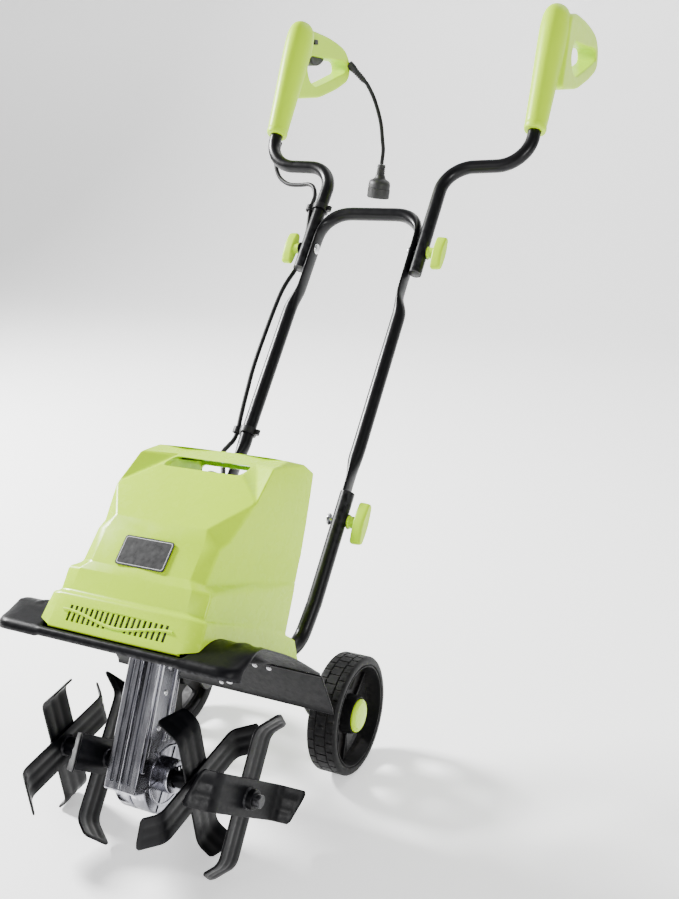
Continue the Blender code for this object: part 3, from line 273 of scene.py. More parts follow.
def area_light(name, place, target, size, watts, size_y=None):
    data = bpy.data.lights.new(name, "AREA")
    data.energy = watts
    data.size = size
    if size_y:
        data.shape = "RECTANGLE"
        data.size_y = size_y
    ob = bpy.data.objects.new(name, data)
    ob.location = place
    way = Vector(target) - Vector(place)
    ob.rotation_euler = way.to_track_quat("-Z", "Y").to_euler()
    bpy.context.collection.objects.link(ob)
    return ob


area_light("key", (-3.0, -0.1, 2.3), (0, -0.2, 0.3), 0.7, 520)
area_light("front", (-0.6, -2.8, 1.9), (0, -0.2, 0.4), 1.4, 20)
area_light("side", (2.5, -1.7, 1.3), (0, -0.3, 0.35), 0.9, 56)
area_light("top", (0.6, 1.6, 3.0), (0, 0, 0.5), 1.6, 30)

# ---------------------------------------------------------------- shape tools


def applied(ob, kind, **settings):
    """Apply one modifier and keep its result as the object's mesh."""
    mod = ob.modifiers.new(kind.lower(), kind)
    for key, value in settings.items():
        setattr(mod, key, value)
    bpy.context.view_layer.update()
    mesh = bpy.data.meshes.new_from_object(ob.evaluated_get(bpy.context.evaluated_depsgraph_get()))
    ob.modifiers.clear()
    slots = list(ob.data.materials)
    ob.data = mesh
    mesh.materials.clear()
    for slot in slots:
        mesh.materials.append(slot)
    return ob


def link(name, bm, mat, matrix=None, clean=True):
    if clean:
        bmesh.ops.remove_doubles(bm, verts=bm.verts, dist=1e-6)
        bmesh.ops.recalc_face_normals(bm, faces=bm.faces)
    mesh = bpy.data.meshes.new(name)
    bm.to_mesh(mesh)
    bm.free()
    mesh.shade_smooth()
    mesh.set_sharp_from_angle(angle=math.radians(35))
    ob = bpy.data.objects.new(name, mesh)
    bpy.context.collection.objects.link(ob)
    ob.matrix_world = matrix or Matrix.Identity(4)
    if mat:
        mesh.materials.append(mat)
    return ob


def shade(ob, angle):
    """Smooth shading, with a hard line at every edge sharper than angle."""
    ob.data.shade_smooth()
    ob.data.set_sharp_from_angle(angle=math.radians(angle))


def boolean(ob, other, operation):
    applied(ob, "BOOLEAN", operation=operation, solver="EXACT", object=other)
    bpy.data.objects.remove(other, do_unlink=True)
    bm = bmesh.new()
    bm.from_mesh(ob.data)
    bmesh.ops.remove_doubles(bm, verts=bm.verts, dist=2e-6)
    bmesh.ops.dissolve_degenerate(bm, edges=bm.edges, dist=1e-6)
    bm.to_mesh(ob.data)
    bm.free()
    return ob


def spun(bm, angle, axis="X"):
    """Turn a bmesh about an axis through its origin."""
    bmesh.ops.rotate(bm, verts=bm.verts, cent=(0, 0, 0), matrix=Matrix.Rotation(angle, 3, axis))
    return bm


def cut(ob, bm, matrix=None):
    return boolean(ob, link("c", bm, None, matrix or Matrix.Identity(4)), "DIFFERENCE")


def join(ob, bm, matrix=None):
    return boolean(ob, link("c", bm, None, matrix or Matrix.Identity(4)), "UNION")


def soften(ob, width, segments=3, angle=34):
    """Round the sharp edges and smooth the shading across them."""
    applied(ob, "BEVEL", width=width, segments=segments, limit_method="ANGLE",
            angle_limit=math.radians(angle), use_clamp_overlap=True, miter_outer="MITER_SHARP")
    shade(ob, 40)
    applied(ob, "WEIGHTED_NORMAL", keep_sharp=True, weight=60)
    return ob


def merged(*parts):
    """One bmesh out of several that don't touch."""
    out = bmesh.new()
    for part in parts:
        mesh = bpy.data.meshes.new("m")
        part.to_mesh(mesh)
        part.free()
        out.from_mesh(mesh)
        bpy.data.meshes.remove(mesh)
    return out


def piece(ob, body, *nodes):
    """Let the piece ride its body and stand for its CAD nodes, which are hidden."""
    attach(ob, body)
    if nodes:
        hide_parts(*nodes)
    return ob


def spot(axis, along, a, b):
    if axis == "X":
        return Vector((along, a, b))
    if axis == "Y":
        return Vector((b, along, a))
    return Vector((a, b, along))


def bridge(bm, one, two):
    """Quads between two closed loops of the same count."""
    for i in range(len(one)):
        j = (i + 1) % len(one)
        bm.faces.new((one[i], one[j], two[j], two[i]))


def turns(count, shift=0.0):
    """Angles all the way round in even steps."""
    return [2 * math.pi * (i + shift) / count for i in range(count)]


def both(sx, a, b):
    """The two distances on side sx, lower one first."""
    return sorted((sx * a, sx * b))


def revolved(profile, axis="Z", centre=(0, 0, 0), count=48):
    """Turn a closed (radius, along) outline about an axis. Radius 0 makes a pole."""
    bm = bmesh.new()
    rings = []
    for radius, along in profile:
        if radius < 1e-9:
            rings.append([bm.verts.new(spot(axis, along, 0, 0))])
            continue
        rings.append([bm.verts.new(spot(axis, along, radius * math.cos(a), radius * math.sin(a)))
                      for a in turns(count)])
    for one, two in zip(rings, rings[1:] + rings[:1]):
        if len(one) == len(two) > 1:
            bridge(bm, one, two)
        elif len(one) != len(two):
            for i in range(count):
                j = (i + 1) % count
                bm.faces.new((one[0], two[i], two[j]) if len(one) == 1 else (one[i], one[j], two[0]))
    bmesh.ops.translate(bm, verts=bm.verts, vec=Vector(centre))
    return bm


def rod(radius, lo, hi, axis="Z", centre=(0, 0, 0), count=40, chamfer=0.0):
    c = chamfer
    if c > 0:
        outline = [(0, lo), (radius - c, lo), (radius - 0.3 * c, lo + 0.3 * c), (radius, lo + c),
                   (radius, hi - c), (radius - 0.3 * c, hi - 0.3 * c), (radius - c, hi), (0, hi)]
    else:
        outline = [(0, lo), (radius, lo), (radius, hi), (0, hi)]
    return revolved(outline, axis, centre, count)


def ring(r_in, r_out, lo, hi, axis="Z", centre=(0, 0, 0), count=48):
    return revolved([(r_in, lo), (r_out, lo), (r_out, hi), (r_in, hi)], axis, centre, count)


def prism(points, lo, hi, axis="X"):
    bm = bmesh.new()
    one = [bm.verts.new(spot(axis, lo, a, b)) for a, b in points]
    two = [bm.verts.new(spot(axis, hi, a, b)) for a, b in points]
    bm.faces.new(one)
    bm.faces.new(list(reversed(two)))
    bridge(bm, two, one)
    bmesh.ops.recalc_face_normals(bm, faces=bm.faces)
    return bm


def box(x0, x1, y0, y1, z0, z1):
    return prism([(y0, z0), (y1, z0), (y1, z1), (y0, z1)], x0, x1, "X")


def loft(rings, closed=False):
    bm = bmesh.new()
    made = [[bm.verts.new(p) for p in one] for one in rings]
    if not closed:
        bm.faces.new(made[0])
        bm.faces.new(list(reversed(made[-1])))
    for one, two in zip(made, made[1:] + (made[:1] if closed else [])):
        bridge(bm, two, one)
    bmesh.ops.recalc_face_normals(bm, faces=bm.faces)
    return bm


def bevel(bm, width, segments=2, angle=30):
    bmesh.ops.remove_doubles(bm, verts=bm.verts, dist=1e-6)
    bmesh.ops.recalc_face_normals(bm, faces=bm.faces)
    limit = math.radians(angle)
    sharp = [e for e in bm.edges if len(e.link_faces) == 2 and e.calc_face_angle(0) > limit]
    bmesh.ops.bevel(bm, geom=sharp, offset=width, segments=segments, profile=0.5, affect="EDGES",
                    clamp_overlap=True)
    return bm


def fillet(corners, radii, step=20):
    path = [Vector(corners[0])]
    for k in range(1, len(corners) - 1):
        a = Vector(corners[k - 1])
        b = Vector(corners[k])
        c = Vector(corners[k + 1])
        d1 = (a - b).normalized()
        d2 = (c - b).normalized()
        half = d1.angle(d2) / 2
        radius = radii[k - 1]
        if radius <= 0:
            path.append(b)
            continue
        reach = radius / math.tan(half)
        middle = b + (d1 + d2).normalized() * (radius / math.sin(half))
        start = b + d1 * reach - middle
        end = b + d2 * reach - middle
        turn = start.angle(end)
        axis = start.cross(end).normalized()
        count = max(2, int(step * turn / (math.pi / 2) + 1))
        for i in range(count + 1):
            path.append(middle + Matrix.Rotation(turn * i / count, 3, axis) @ start)
    path.append(Vector(corners[-1]))
    return path


def evened(rows, spacing, rounds):
    """Stations (point, value) walked evenly along the path, then relaxed so that its corners are smooth."""
    out = []
    for (p, f), (q, g) in zip(rows, rows[1:]):
        count = max(1, round((q - p).length / spacing))
        out += [(p.lerp(q, i / count), f + (g - f) * i / count) for i in range(count)]
    out.append(rows[-1])
    for _ in range(rounds):
        mid = [((a[0] + b[0] * 2 + c[0]) / 4, (a[1] + b[1] * 2 + c[1]) / 4) for a, b,
               c in zip(out, out[1:], out[2:])]
        out = [out[0]] + mid + [out[-1]]
    return out


def pipe(path, sizes, normal, count=32, wall=TUBE_WALL):
    """Open-ended tube. sizes are (half width in the path's plane, half width across)."""
    normal = Vector(normal).normalized()
    bm = bmesh.new()
    loops = []
    total = len(path)
    for depth, order in ((0.0, range(total)), (wall, range(total - 1, -1, -1))):
        for k in order:
            point = path[k]
            tangent = (path[min(k + 1, total - 1)] - path[max(k - 1, 0)]).normalized()
            across = (normal - tangent * normal.dot(tangent)).normalized()
            side = tangent.cross(across)
            a_in = sizes[k][0] - depth
            a_over = sizes[k][1] - depth
            loops.append([bm.verts.new(point + side * (a_in * math.cos(a)) + across * (a_over * math.sin(a)))
                          for a in turns(count)])
    for one, two in zip(loops, loops[1:] + loops[:1]):
        bridge(bm, one, two)
    return bm


def smooth_path(knots, spacing, shift=True):
    knots = [Vector(k) for k in knots]
    ends = [knots[0] * 2 - knots[1]] + knots + [knots[-1] * 2 - knots[-2]]
    fine = []
    for k in range(1, len(ends) - 2):
        a, b, c, d = ends[k - 1], ends[k], ends[k + 1], ends[k + 2]
        for i in range(24):
            t = i / 24
            bent = b * 2 + (c - a) * t + (a * 2 - b * 5 + c * 4 - d) * t * t
            bent += (b * 3 - a - c * 3 + d) * t * t * t
            fine.append(bent * 0.5)
    fine.append(knots[-1])
    total = sum((q - p).length for p, q in zip(fine, fine[1:]))
    count = max(2, round(total / spacing))
    out = [fine[0]]
    walked = 0.0
    for p, q in zip(fine, fine[1:]):
        walked += (q - p).length
        if walked >= total / count * len(out) - 1e-9 and len(out) < count:
            out.append(q)
    out.append(fine[-1])
    return [p - Vector((0, MID_Y, 0)) for p in out] if shift else out


def sweep(points, radius, count=16):
    """Round solid bar along points, with closed ends."""
    bm = bmesh.new()
    loops = []
    tangent = (points[1] - points[0]).normalized()
    side = tangent.orthogonal().normalized()
    for k, point in enumerate(points):
        tangent = (points[min(k + 1, len(points) - 1)] - points[max(k - 1, 0)]).normalized()
        side = (side - tangent * side.dot(tangent)).normalized()
        over = tangent.cross(side)
        loops.append([bm.verts.new(point + (side * math.cos(a) + over * math.sin(a)) * radius)
                      for a in turns(count)])
    bm.faces.new(loops[0])
    bm.faces.new(list(reversed(loops[-1])))
    for one, two in zip(loops, loops[1:]):
        bridge(bm, one, two)
    return bm


def head_point(x, u, w):
    return Matrix.Rotation(-TILT, 3, "X") @ Vector((x, u, w)) + Vector((0, 0, SHAFT_Z))


def rounded(points, radius, steps=4):
    """Closed 2-D outline with its corners rounded."""
    out = []
    total = len(points)
    for k in range(total):
        a = Vector(points[k - 1])
        b = Vector(points[k])
        c = Vector(points[(k + 1) % total])
        d1 = (a - b).normalized()
        d2 = (c - b).normalized()
        r = min(radius, (a - b).length * 0.45, (c - b).length * 0.45)
        start = b + d1 * r
        end = b + d2 * r
        for i in range(steps + 1):
            t = i / steps
            p = start * (1 - t) * (1 - t) + b * 2 * t * (1 - t) + end * t * t
            out.append((p.x, p.y))
    return out


# ---------------------------------------------------------------- free lead, first of all

BOOT_AT = Vector((-0.2105, 0.977 - MID_Y, 0.944))
BOOT_WAY = Vector((0.0212, 0.024, -0.0312)).normalized()
BOOT_TURN = Matrix.Translation(BOOT_AT) @ BOOT_WAY.to_track_quat("Z", "Y").to_matrix().to_4x4()
LEAD_D = 0.0074
boot_world = BOOT_AT + Vector((0, MID_Y, 0))
lead_knots = [boot_world + BOOT_WAY * 0.018, boot_world + BOOT_WAY * 0.0405, boot_world + BOOT_WAY * 0.047,
              (-0.179, 1.009, 0.89), (-0.169, 1.008, 0.8647), (-0.1609, 1.005, 0.838),
              (-0.1569, 1.002, 0.8111), (-0.1549, 1.001, 0.7932), (-0.1566, 1.0, 0.776),
              (-0.1577, 1.0, 0.7676)]
lead_points = smooth_path(lead_knots, 0.004)
lead_curve = bpy.data.curves.new("lead", "CURVE")
lead_curve.dimensions = "3D"
lead_curve.bevel_depth = LEAD_D / 2
lead_curve.bevel_resolution = 6
lead_curve.use_fill_caps = True
spline = lead_curve.splines.new("POLY")
spline.points.add(len(lead_points) - 1)
for node, point in zip(spline.points, lead_points):
    node.co = (point[0], point[1], point[2], 1.0)
lead_curve.materials.append(CABLE)
lead = bpy.data.objects.new("lead", lead_curve)
bpy.context.collection.objects.link(lead)
piece(lead, "upper_handle_left", "pigtail_cord")

boot_profile = [(0.007, -0.003), (0.007, 0.0095), (0.0066, 0.0105), (0.006, 0.0125)]
for k in range(6):
    at = 0.0138 + 0.0042 * k
    r = 0.0061 - 0.00012 * k
    boot_profile += [(r, at), (r, at + 0.002), (r - 0.0012, at + 0.0025), (r - 0.0012, at + 0.0038)]
boot_profile += [(0.0052, 0.0394), (0.0046, 0.04), (0.004, 0.04), (0.0038, 0.039), (0.0038, -0.003)]
boot = soften(link("lead_boot", revolved(boot_profile, "Z", (0, 0, 0), 36), BLACK, BOOT_TURN), 0.0003, 2)
piece(boot, "upper_handle_left", "strain_relief")

HANG = Matrix.Translation((-0.1656, 1.0 - MID_Y, 0.7058)) @ Matrix.Rotation(0.13, 4, "Y")
plug_profile = [(0.0038, 0.0615), (0.0066, 0.0615), (0.0073, 0.0608), (0.0077, 0.0575)]
for k in range(4):
    at = 0.056 - 0.0036 * k
    r = 0.0078 + 0.0002 * k
    plug_profile += [(r, at), (r - 0.001, at - 0.0006), (r - 0.001, at - 0.002), (r + 0.0001, at - 0.0026)]
plug_profile += [(0.0088, 0.042), (0.0098, 0.0385), (0.0112, 0.036), (0.0145, 0.034), (0.0178, 0.0322),
                 (0.0196, 0.0296), (0.0205, 0.025), (0.0207, 0.02), (0.02, 0.0195), (0.02, 0.0185),
                 (0.0207, 0.018), (0.021, 0.0045), (0.0208, 0.0012), (0.0196, 0.0), (0.017, 0.0),
                 (0.0167, 0.0008), (0.005, 0.0008), (0.0046, 0.0014), (0.0044, 0.011), (0.0, 0.011),
                 (0.0, 0.056), (0.0038, 0.056)]
grip_ribs = [spun(box(0.0196, 0.02098, -0.001, 0.001, 0.0052, 0.0172), a, "Z") for a in turns(14)]
plug = link("lead_plug", merged(revolved(plug_profile, "Z", (0, 0, 0), 48), *grip_ribs), SOFT, HANG)
piece(plug, "upper_handle_left", "plug")

# ---------------------------------------------------------------- hood

HOOD_ROWS = (
    ((0, -0.137, 0.15), (0.088, -0.135, 0.15), (0.108, -0.127, 0.15), (0.11, -0.01, 0.1475),
     (0.1125, 0.107, 0.147)),
    ((0, -0.1255, 0.19), (0.086, -0.1235, 0.19), (0.105, -0.1155, 0.188), (0.1075, 0.0, 0.184),
     (0.109, 0.0906, 0.177)),
    ((0, -0.1215, 0.193), (0.078, -0.1185, 0.193), (0.0985, -0.111, 0.191), (0.106, 0.0, 0.188),
     (0.107, 0.0673, 0.182)),
    ((0, -0.116, 0.2195), (0.078, -0.113, 0.2195), (0.0985, -0.106, 0.2185), (0.1052, 0.01, 0.234),
     (0.107, 0.069, 0.236)),
    ((0, -0.111, 0.229), (0.068, -0.107, 0.229), (0.0845, -0.1005, 0.227), (0.1005, 0.006, 0.241),
     (0.1065, 0.069, 0.246)),
    ((0, -0.0957, 0.269), (0.067, -0.0917, 0.269), (0.0845, -0.085, 0.268), (0.101, 0.026, 0.269),
     (0.1065, 0.0694, 0.27)),
    ((0, -0.086, 0.287), (0.0635, -0.085, 0.287), (0.0875, -0.0715, 0.2785), (0.1045, 0.034, 0.279),
     (0.107, 0.0696, 0.28)),
    ((0, -0.025, 0.358), (0.06, -0.025, 0.358), (0.0985, -0.049, 0.327), (0.105, 0.03, 0.325),
     (0.107, 0.068, 0.32)),
    ((0, 0.004, 0.375), (0.06, 0.004, 0.375), (0.0955, -0.019, 0.372), (0.1045, 0.03, 0.366),
     (0.1065, 0.0665, 0.355)),
    ((0, 0.03, 0.39), (0.06, 0.03, 0.39), (0.094, 0.015, 0.387), (0.1045, 0.04, 0.388),
     (0.106, 0.065, 0.382)),
)


SLOT_X = 0.056


def skin(rings, guide):
    """Skin rings with flat triangles. Each patch is split along the diagonal that bulges out in guide."""
    bm = bmesh.new()
    made = [[bm.verts.new(p) for p in one] for one in rings]
    count = len(made[0])
    for k in range(len(rings) - 1):
        for i in range(count):
            j = (i + 1) % count
            a, b, c, d = guide[k][i], guide[k][j], guide[k + 1][j], guide[k + 1][i]
            out = (c - a).cross(d - b)
            middle = (a + b + c + d) / 4
            if out.dot(Vector((middle.x, middle.y + 0.02, 0))) < 0:
                out = -out
            one, two, three, four = made[k][i], made[k][j], made[k + 1][j], made[k + 1][i]
            if (a + c - b - d).dot(out) > 0:
                bm.faces.new((one, two, three))
                bm.faces.new((one, three, four))
            else:
                bm.faces.new((one, two, four))
                bm.faces.new((two, three, four))
    front = count // 2
    for cap in (made[0], made[-1]):
        for i in range(count):
            j = (i + 1) % count
            if i != front and j != front:
                bm.faces.new((cap[front], cap[i], cap[j]))
    bmesh.ops.recalc_face_normals(bm, faces=bm.faces)
    return bm


def hood_body(thin):
    """Solid of the hood's outside, or of its inside when thin is the wall."""
    rings = []
    guide = []
    for k, row in enumerate(HOOD_ROWS):
        for wall, out in ((0.0, guide), (thin, rings)):
            half = []
            for m, (x, u, w) in enumerate(row):
                if wall > 0:
                    x = max(x - wall * (1.0 if m > 1 else 0.6), 0)
                    u += -1.2 * wall if m == 4 else 1.3 * wall
                    w -= 1.2 * wall if k > 6 else 0.4 * wall
                half.append(Vector((x, u, w)))
            left = [Vector((-p.x, p.y, p.z)) for p in reversed(half[1:])]
            out.append(left + half)
    if thin > 0:
        rings[0] = [p + (q - p) * ((0.12 - p.z) / (q.z - p.z)) for p, q in zip(rings[0], rings[1])]
    bm = skin(rings, guide)
    if thin == 0:
        bevel(bm, 0.0046, 4, 26)
        bmesh.ops.triangulate(bm, faces=bm.faces)
    return bm


DECK_SIDE = [(-0.1415, 0.1455), (-0.126, 0.154), (-0.108, 0.1645), (-0.09, 0.17), (-0.07, 0.1695),
             (-0.013, 0.162), (0.065, 0.1445)]
DECK_T = 0.0022
DECK_HALF = 0.1634
DECK_MID_W = 0.1435


def wave(u):
    """Height of the deck's side wave at u, a smooth line through DECK_SIDE."""
    knots = [(2 * DECK_SIDE[0][0] - DECK_SIDE[1][0], 2 * DECK_SIDE[0][1] - DECK_SIDE[1][1])] + DECK_SIDE
    knots.append((2 * DECK_SIDE[-1][0] - DECK_SIDE[-2][0], 2 * DECK_SIDE[-1][1] - DECK_SIDE[-2][1]))
    for k in range(1, len(knots) - 2):
        (u0, w0), (u1, w1), (u2, w2), (u3, w3) = knots[k - 1:k + 3]
        if u <= u2 or k == len(knots) - 3:
            t = (u - u1) / (u2 - u1)
            m1 = (w2 - w0) / (u2 - u0) * (u2 - u1)
            m2 = (w3 - w1) / (u3 - u1) * (u2 - u1)
            t2 = t * t
            t3 = t2 * t
            near = (2 * t3 - 3 * t2 + 1) * w1 + (t3 - 2 * t2 + t) * m1
            return near + (3 * t2 - 2 * t3) * w2 + (t3 - t2) * m2
    return DECK_SIDE[-1][1]


def middle_deck(u):
    share = min(max((-0.07 - u) / 0.07, 0.0), 1.0)
    return DECK_MID_W + 0.0032 * share * share


hood = link("hood_shell", hood_body(0.0), LIME, HEAD)
steps = [-0.142 + 0.207 * i / 44 for i in range(45)]
lower = [(-0.142, 0.1)] + [(u, wave(u) + DECK_T + 0.0006) for u in steps] + [(0.125, 0.1475), (0.125, 0.1)]
cut(hood, merged(prism(lower, 0.088, 0.13), prism(lower, -0.13, -0.088)), HEAD)
cut(hood, hood_body(0.003), HEAD)
cut(hood, bevel(box(-SLOT_X, SLOT_X, -0.06, 0.1, 0.3575, 0.3735), 0.006, 4), HEAD)
cut(hood, merged(box(0.081, 0.109, 0.05, 0.125, 0.14, 0.174), box(-0.109, -0.081, 0.05, 0.125, 0.14, 0.174)),
    HEAD)
LABEL_TILT = math.atan2(0.0153, 0.04)
LABEL = HEAD @ Matrix.Translation((0, -0.10335, 0.249)) @ Matrix.Rotation(-LABEL_TILT, 4, "X")
label_outline = rounded([(-0.034, -0.019), (0.034, -0.019), (0.034, 0.019), (-0.034, 0.019)], 0.0045, 6)


def plate(outline, lo, hi):
    """Flat plate whose outline is (x, z) and whose thickness runs along y."""
    return prism([(z, x) for x, z in outline], lo, hi, "Y")


cut(hood, plate(label_outline, -0.01, 0.0009), LABEL)
VENT_TILT = math.atan2(0.0115, 0.042)
VENT = HEAD @ Matrix.Translation((0, -0.1311, 0.1695)) @ Matrix.Rotation(-VENT_TILT, 4, "X")
VENTS = 19
pitch = 0.0072
inner_outline = rounded([(-0.0745, -0.0104), (0.0745, -0.0104), (0.0745, 0.0104), (-0.0745, 0.0104)], 0.0032,
                        5)
cut(hood, plate(inner_outline, -0.006, 0.0009), VENT)
cut(hood, box(-0.0765, 0.0765, 0.0024, 0.006, -0.0118, 0.0118), VENT)
VENT_HALF = 0.0094


def bar_height(k):
    """Height of the bar between the two rows of slots, at slot number k."""
    return 0.0047 * math.cos(2 * math.pi * (k + 0.5) / VENTS) - 0.0015


slots = []
for k in range(VENTS):
    x = pitch * (k - (VENTS - 1) / 2)
    edge = bar_height(k)
    slots.append(box(x - 0.0019, x + 0.0019, -0.006, 0.012, edge + 0.001, VENT_HALF))
    if edge - 0.001 + VENT_HALF > 0.0025:
        slots.append(box(x - 0.0019, x + 0.0019, -0.006, 0.012, -VENT_HALF, edge - 0.001))
cut(hood, merged(*slots), VENT)
cut(hood, rod(0.0042, 0.05, 0.085, "Y", (-0.02, 0, 0.277), 24), HEAD)
shade(hood, 28)
applied(hood, "WEIGHTED_NORMAL", keep_sharp=True, weight=80)
piece(hood, "chassis", "hood")

# The floor and the two cheeks of the carry slot close off the inside of the hood.
cheek = [(-0.0215, 0.3575), (0.0655, 0.3575), (0.0655, 0.356), (-0.0215, 0.356)]
slot_floor = link("carry_slot_floor", prism(cheek, -SLOT_X - 0.002, SLOT_X + 0.002), LIME, HEAD)
piece(slot_floor, "chassis")
for side, sx in SIDES:
    wall = prism([(-0.02, 0.3565), (0.0655, 0.3565), (0.0655, 0.378), (0.004, 0.37)],
                 *sorted((SLOT_X * sx, (SLOT_X + 0.0015) * sx)))
    piece(link("carry_slot_cheek_" + side, wall, LIME, HEAD), "chassis")

# A dark sheet closes the air slots from inside, painted shade standing in for the shade inside the hood, so that
# they read as black.
slot_shade_sheet = link("vent_shade_sheet", box(-0.076, 0.076, 0.0026, 0.0034, -0.0115, 0.0115), BLACK, VENT)
piece(slot_shade_sheet, "chassis")

# The wave bar stands proud of the vent grid and a thin rim runs round it.
bar_rows = []
for i in range(61):
    x = -0.0738 + 0.1476 * i / 60
    z = bar_height(x / pitch + (VENTS - 1) / 2)
    bar_rows.append([Vector((x, y, z + h)) for y, h in ((0.001, -0.0017), (-0.0003, -0.0012), (-0.0007, 0.0),
                                                       (-0.0003, 0.0012), (0.001, 0.0017))])
wave_bar = link("vent_wave_bar", loft(bar_rows), LIME, VENT)
piece(wave_bar, "chassis")

label_rim = rounded([(-0.0335, -0.0185), (0.0335, -0.0185), (0.0335, 0.0185), (-0.0335, 0.0185)], 0.0042, 6)
label = soften(link("label_blank", plate(label_rim, -0.0005, 0.0006), DARK_GLOSS, LABEL), 0.0002, 2)
piece(label, "chassis", "label_plate")
rule_out = rounded([(-0.0318, -0.0168), (0.0318, -0.0168), (0.0318, 0.0168), (-0.0318, 0.0168)], 0.0034, 6)
rule_in = rounded([(-0.0313, -0.0163), (0.0313, -0.0163), (0.0313, 0.0163), (-0.0313, 0.0163)], 0.003, 6)
bm = bmesh.new()
loops = [[bm.verts.new((x, y, z)) for x, z in line] for line, y in
         ((rule_out, -0.0004), (rule_out, -0.00058), (rule_in, -0.00058), (rule_in, -0.0004))]
for one, two in zip(loops, loops[1:] + loops[:1]):
    bridge(bm, one, two)
rule = link("label_rule", bm, PRINT, LABEL)
piece(rule, "chassis")

# ---------------------------------------------------------------- deck and rear guard


def smooth_step(t):
    t = min(max(t, 0.0), 1.0)
    return t * t * (3 - 2 * t)


def deck_height(x, u):
    side = smooth_step((abs(x) - 0.0925) / 0.0065)
    base = middle_deck(u) + (wave(u) - middle_deck(u)) * side
    # Long pressed beads on the wings, one on each side.
    du = max(abs(u + 0.084) - 0.012, 0.0)
    dx = abs(abs(x) - 0.1345)
    bead = smooth_step(1.0 - math.hypot(dx, du) / 0.0085)
    wide = max(abs(u + 0.01) - 0.04, 0.0)
    rib = smooth_step(1.0 - math.hypot(abs(abs(x) - 0.139), wide) / 0.006)
    return base + 0.0018 * bead + 0.0014 * rib


xs = []
x = -DECK_HALF
while x < DECK_HALF + 0.00001:
    xs.append(x)
    x += 0.0019 if abs(x) > 0.088 else 0.008
xs = sorted(set([round(v, 5) for v in xs] + [round(-v, 5) for v in xs]))
xs = [v for k, v in enumerate(xs) if k == 0 or v - xs[k - 1] > 0.0009]
CORNER_R = 0.024
LIP = ((-0.1424, -0.0085), (-0.1425, -0.006), (-0.1422, -0.0036), (-0.1412, -0.0016), (-0.1396, -0.0005))
us = [-0.1378 + 0.2028 * i / 88 for i in range(89)]
stations = [(u, drop) for u, drop in LIP] + [(u, 0.0) for u in us]
bm = bmesh.new()
levels = []
for offset in (DECK_T, 0.0):
    grid = []
    for x in xs:
        line = []
        past = max(abs(x) - (DECK_HALF - CORNER_R), 0.0)
        corner = CORNER_R - math.sqrt(max(CORNER_R * CORNER_R - past * past, 0.0))
        for u, drop in stations:
            back = 0.0 if offset else DECK_T * min(-drop / 0.004, 1.0)
            near = max(-0.1 - u, 0.0) / 0.0425
            line.append(bm.verts.new((x, u + back + corner * near, deck_height(x, u) + drop + offset)))
        grid.append(line)
    levels.append(grid)
top, low = levels
for i in range(len(xs) - 1):
    for j in range(len(stations) - 1):
        bm.faces.new((top[i][j], top[i + 1][j], top[i + 1][j + 1], top[i][j + 1]))
        bm.faces.new((low[i][j], low[i][j + 1], low[i + 1][j + 1], low[i + 1][j]))
for i in range(len(xs) - 1):
    for j in (0, len(stations) - 1):
        bm.faces.new((top[i][j], top[i + 1][j], low[i + 1][j], low[i][j]))
for j in range(len(stations) - 1):
    for i in (0, len(xs) - 1):
        bm.faces.new((top[i][j], top[i][j + 1], low[i][j + 1], low[i][j]))
deck = link("deck_sheet", bm, SHEET, HEAD)
cut(deck, rod(0.045, 0.1, 0.2, "Z", (0, MOTOR_U, 0), 56), HEAD)
shade(deck, 50)
piece(deck, "chassis", "fender")
GUARD = [(0.0655, 0.1445), (0.07, 0.1437), (0.119, 0.103), (0.123, 0.096), (0.121, 0.0955),
         (0.1172, 0.1018), (0.069, 0.1415), (0.0655, 0.1422)]
guard = soften(link("guard_sheet", prism(GUARD, -DECK_HALF, DECK_HALF), SHEET, HEAD), 0.0008, 3, 20)
piece(guard, "chassis", "rear_guard")
GUARD_WAY = Vector((0, 0.119 - 0.07, 0.103 - 0.1437)).normalized()
GUARD_OUT = Vector((0, -GUARD_WAY.z, GUARD_WAY.y))
GUARD_SLOPE = GUARD_WAY.z / GUARD_WAY.y
for name, x, u, size in (("low", 0.0172, 0.112, 0.0052), ("high", 0.0165, 0.0953, 0.0034),
                         ("end", 0.0035, 0.117, 0.0032), ("bend_a", 0.0691, 0.0752, 0.0036),
                         ("bend_b", 0.0891, 0.0752, 0.0036), ("bend_c", -0.0691, 0.0752, 0.0036),
                         ("bend_d", -0.0891, 0.0752, 0.0036)):
    dome = [(0, 0.42 * size), (0.35 * size, 0.4 * size), (0.65 * size, 0.32 * size),
            (0.88 * size, 0.18 * size), (size, 0.0), (size, -0.0016), (0, -0.0016)]
    seat = Vector((x, u, 0.1437 + GUARD_SLOPE * (u - 0.07))) - GUARD_OUT * DECK_T
    spin = (-GUARD_OUT).to_track_quat("Z", "Y").to_matrix().to_4x4()
    rivet = link("guard_rivet_" + name, revolved(dome, "Z", (0, 0, 0), 28), STEEL,
                 HEAD @ Matrix.Translation(seat) @ spin)
    piece(rivet, "chassis")

# ---------------------------------------------------------------- gearbox

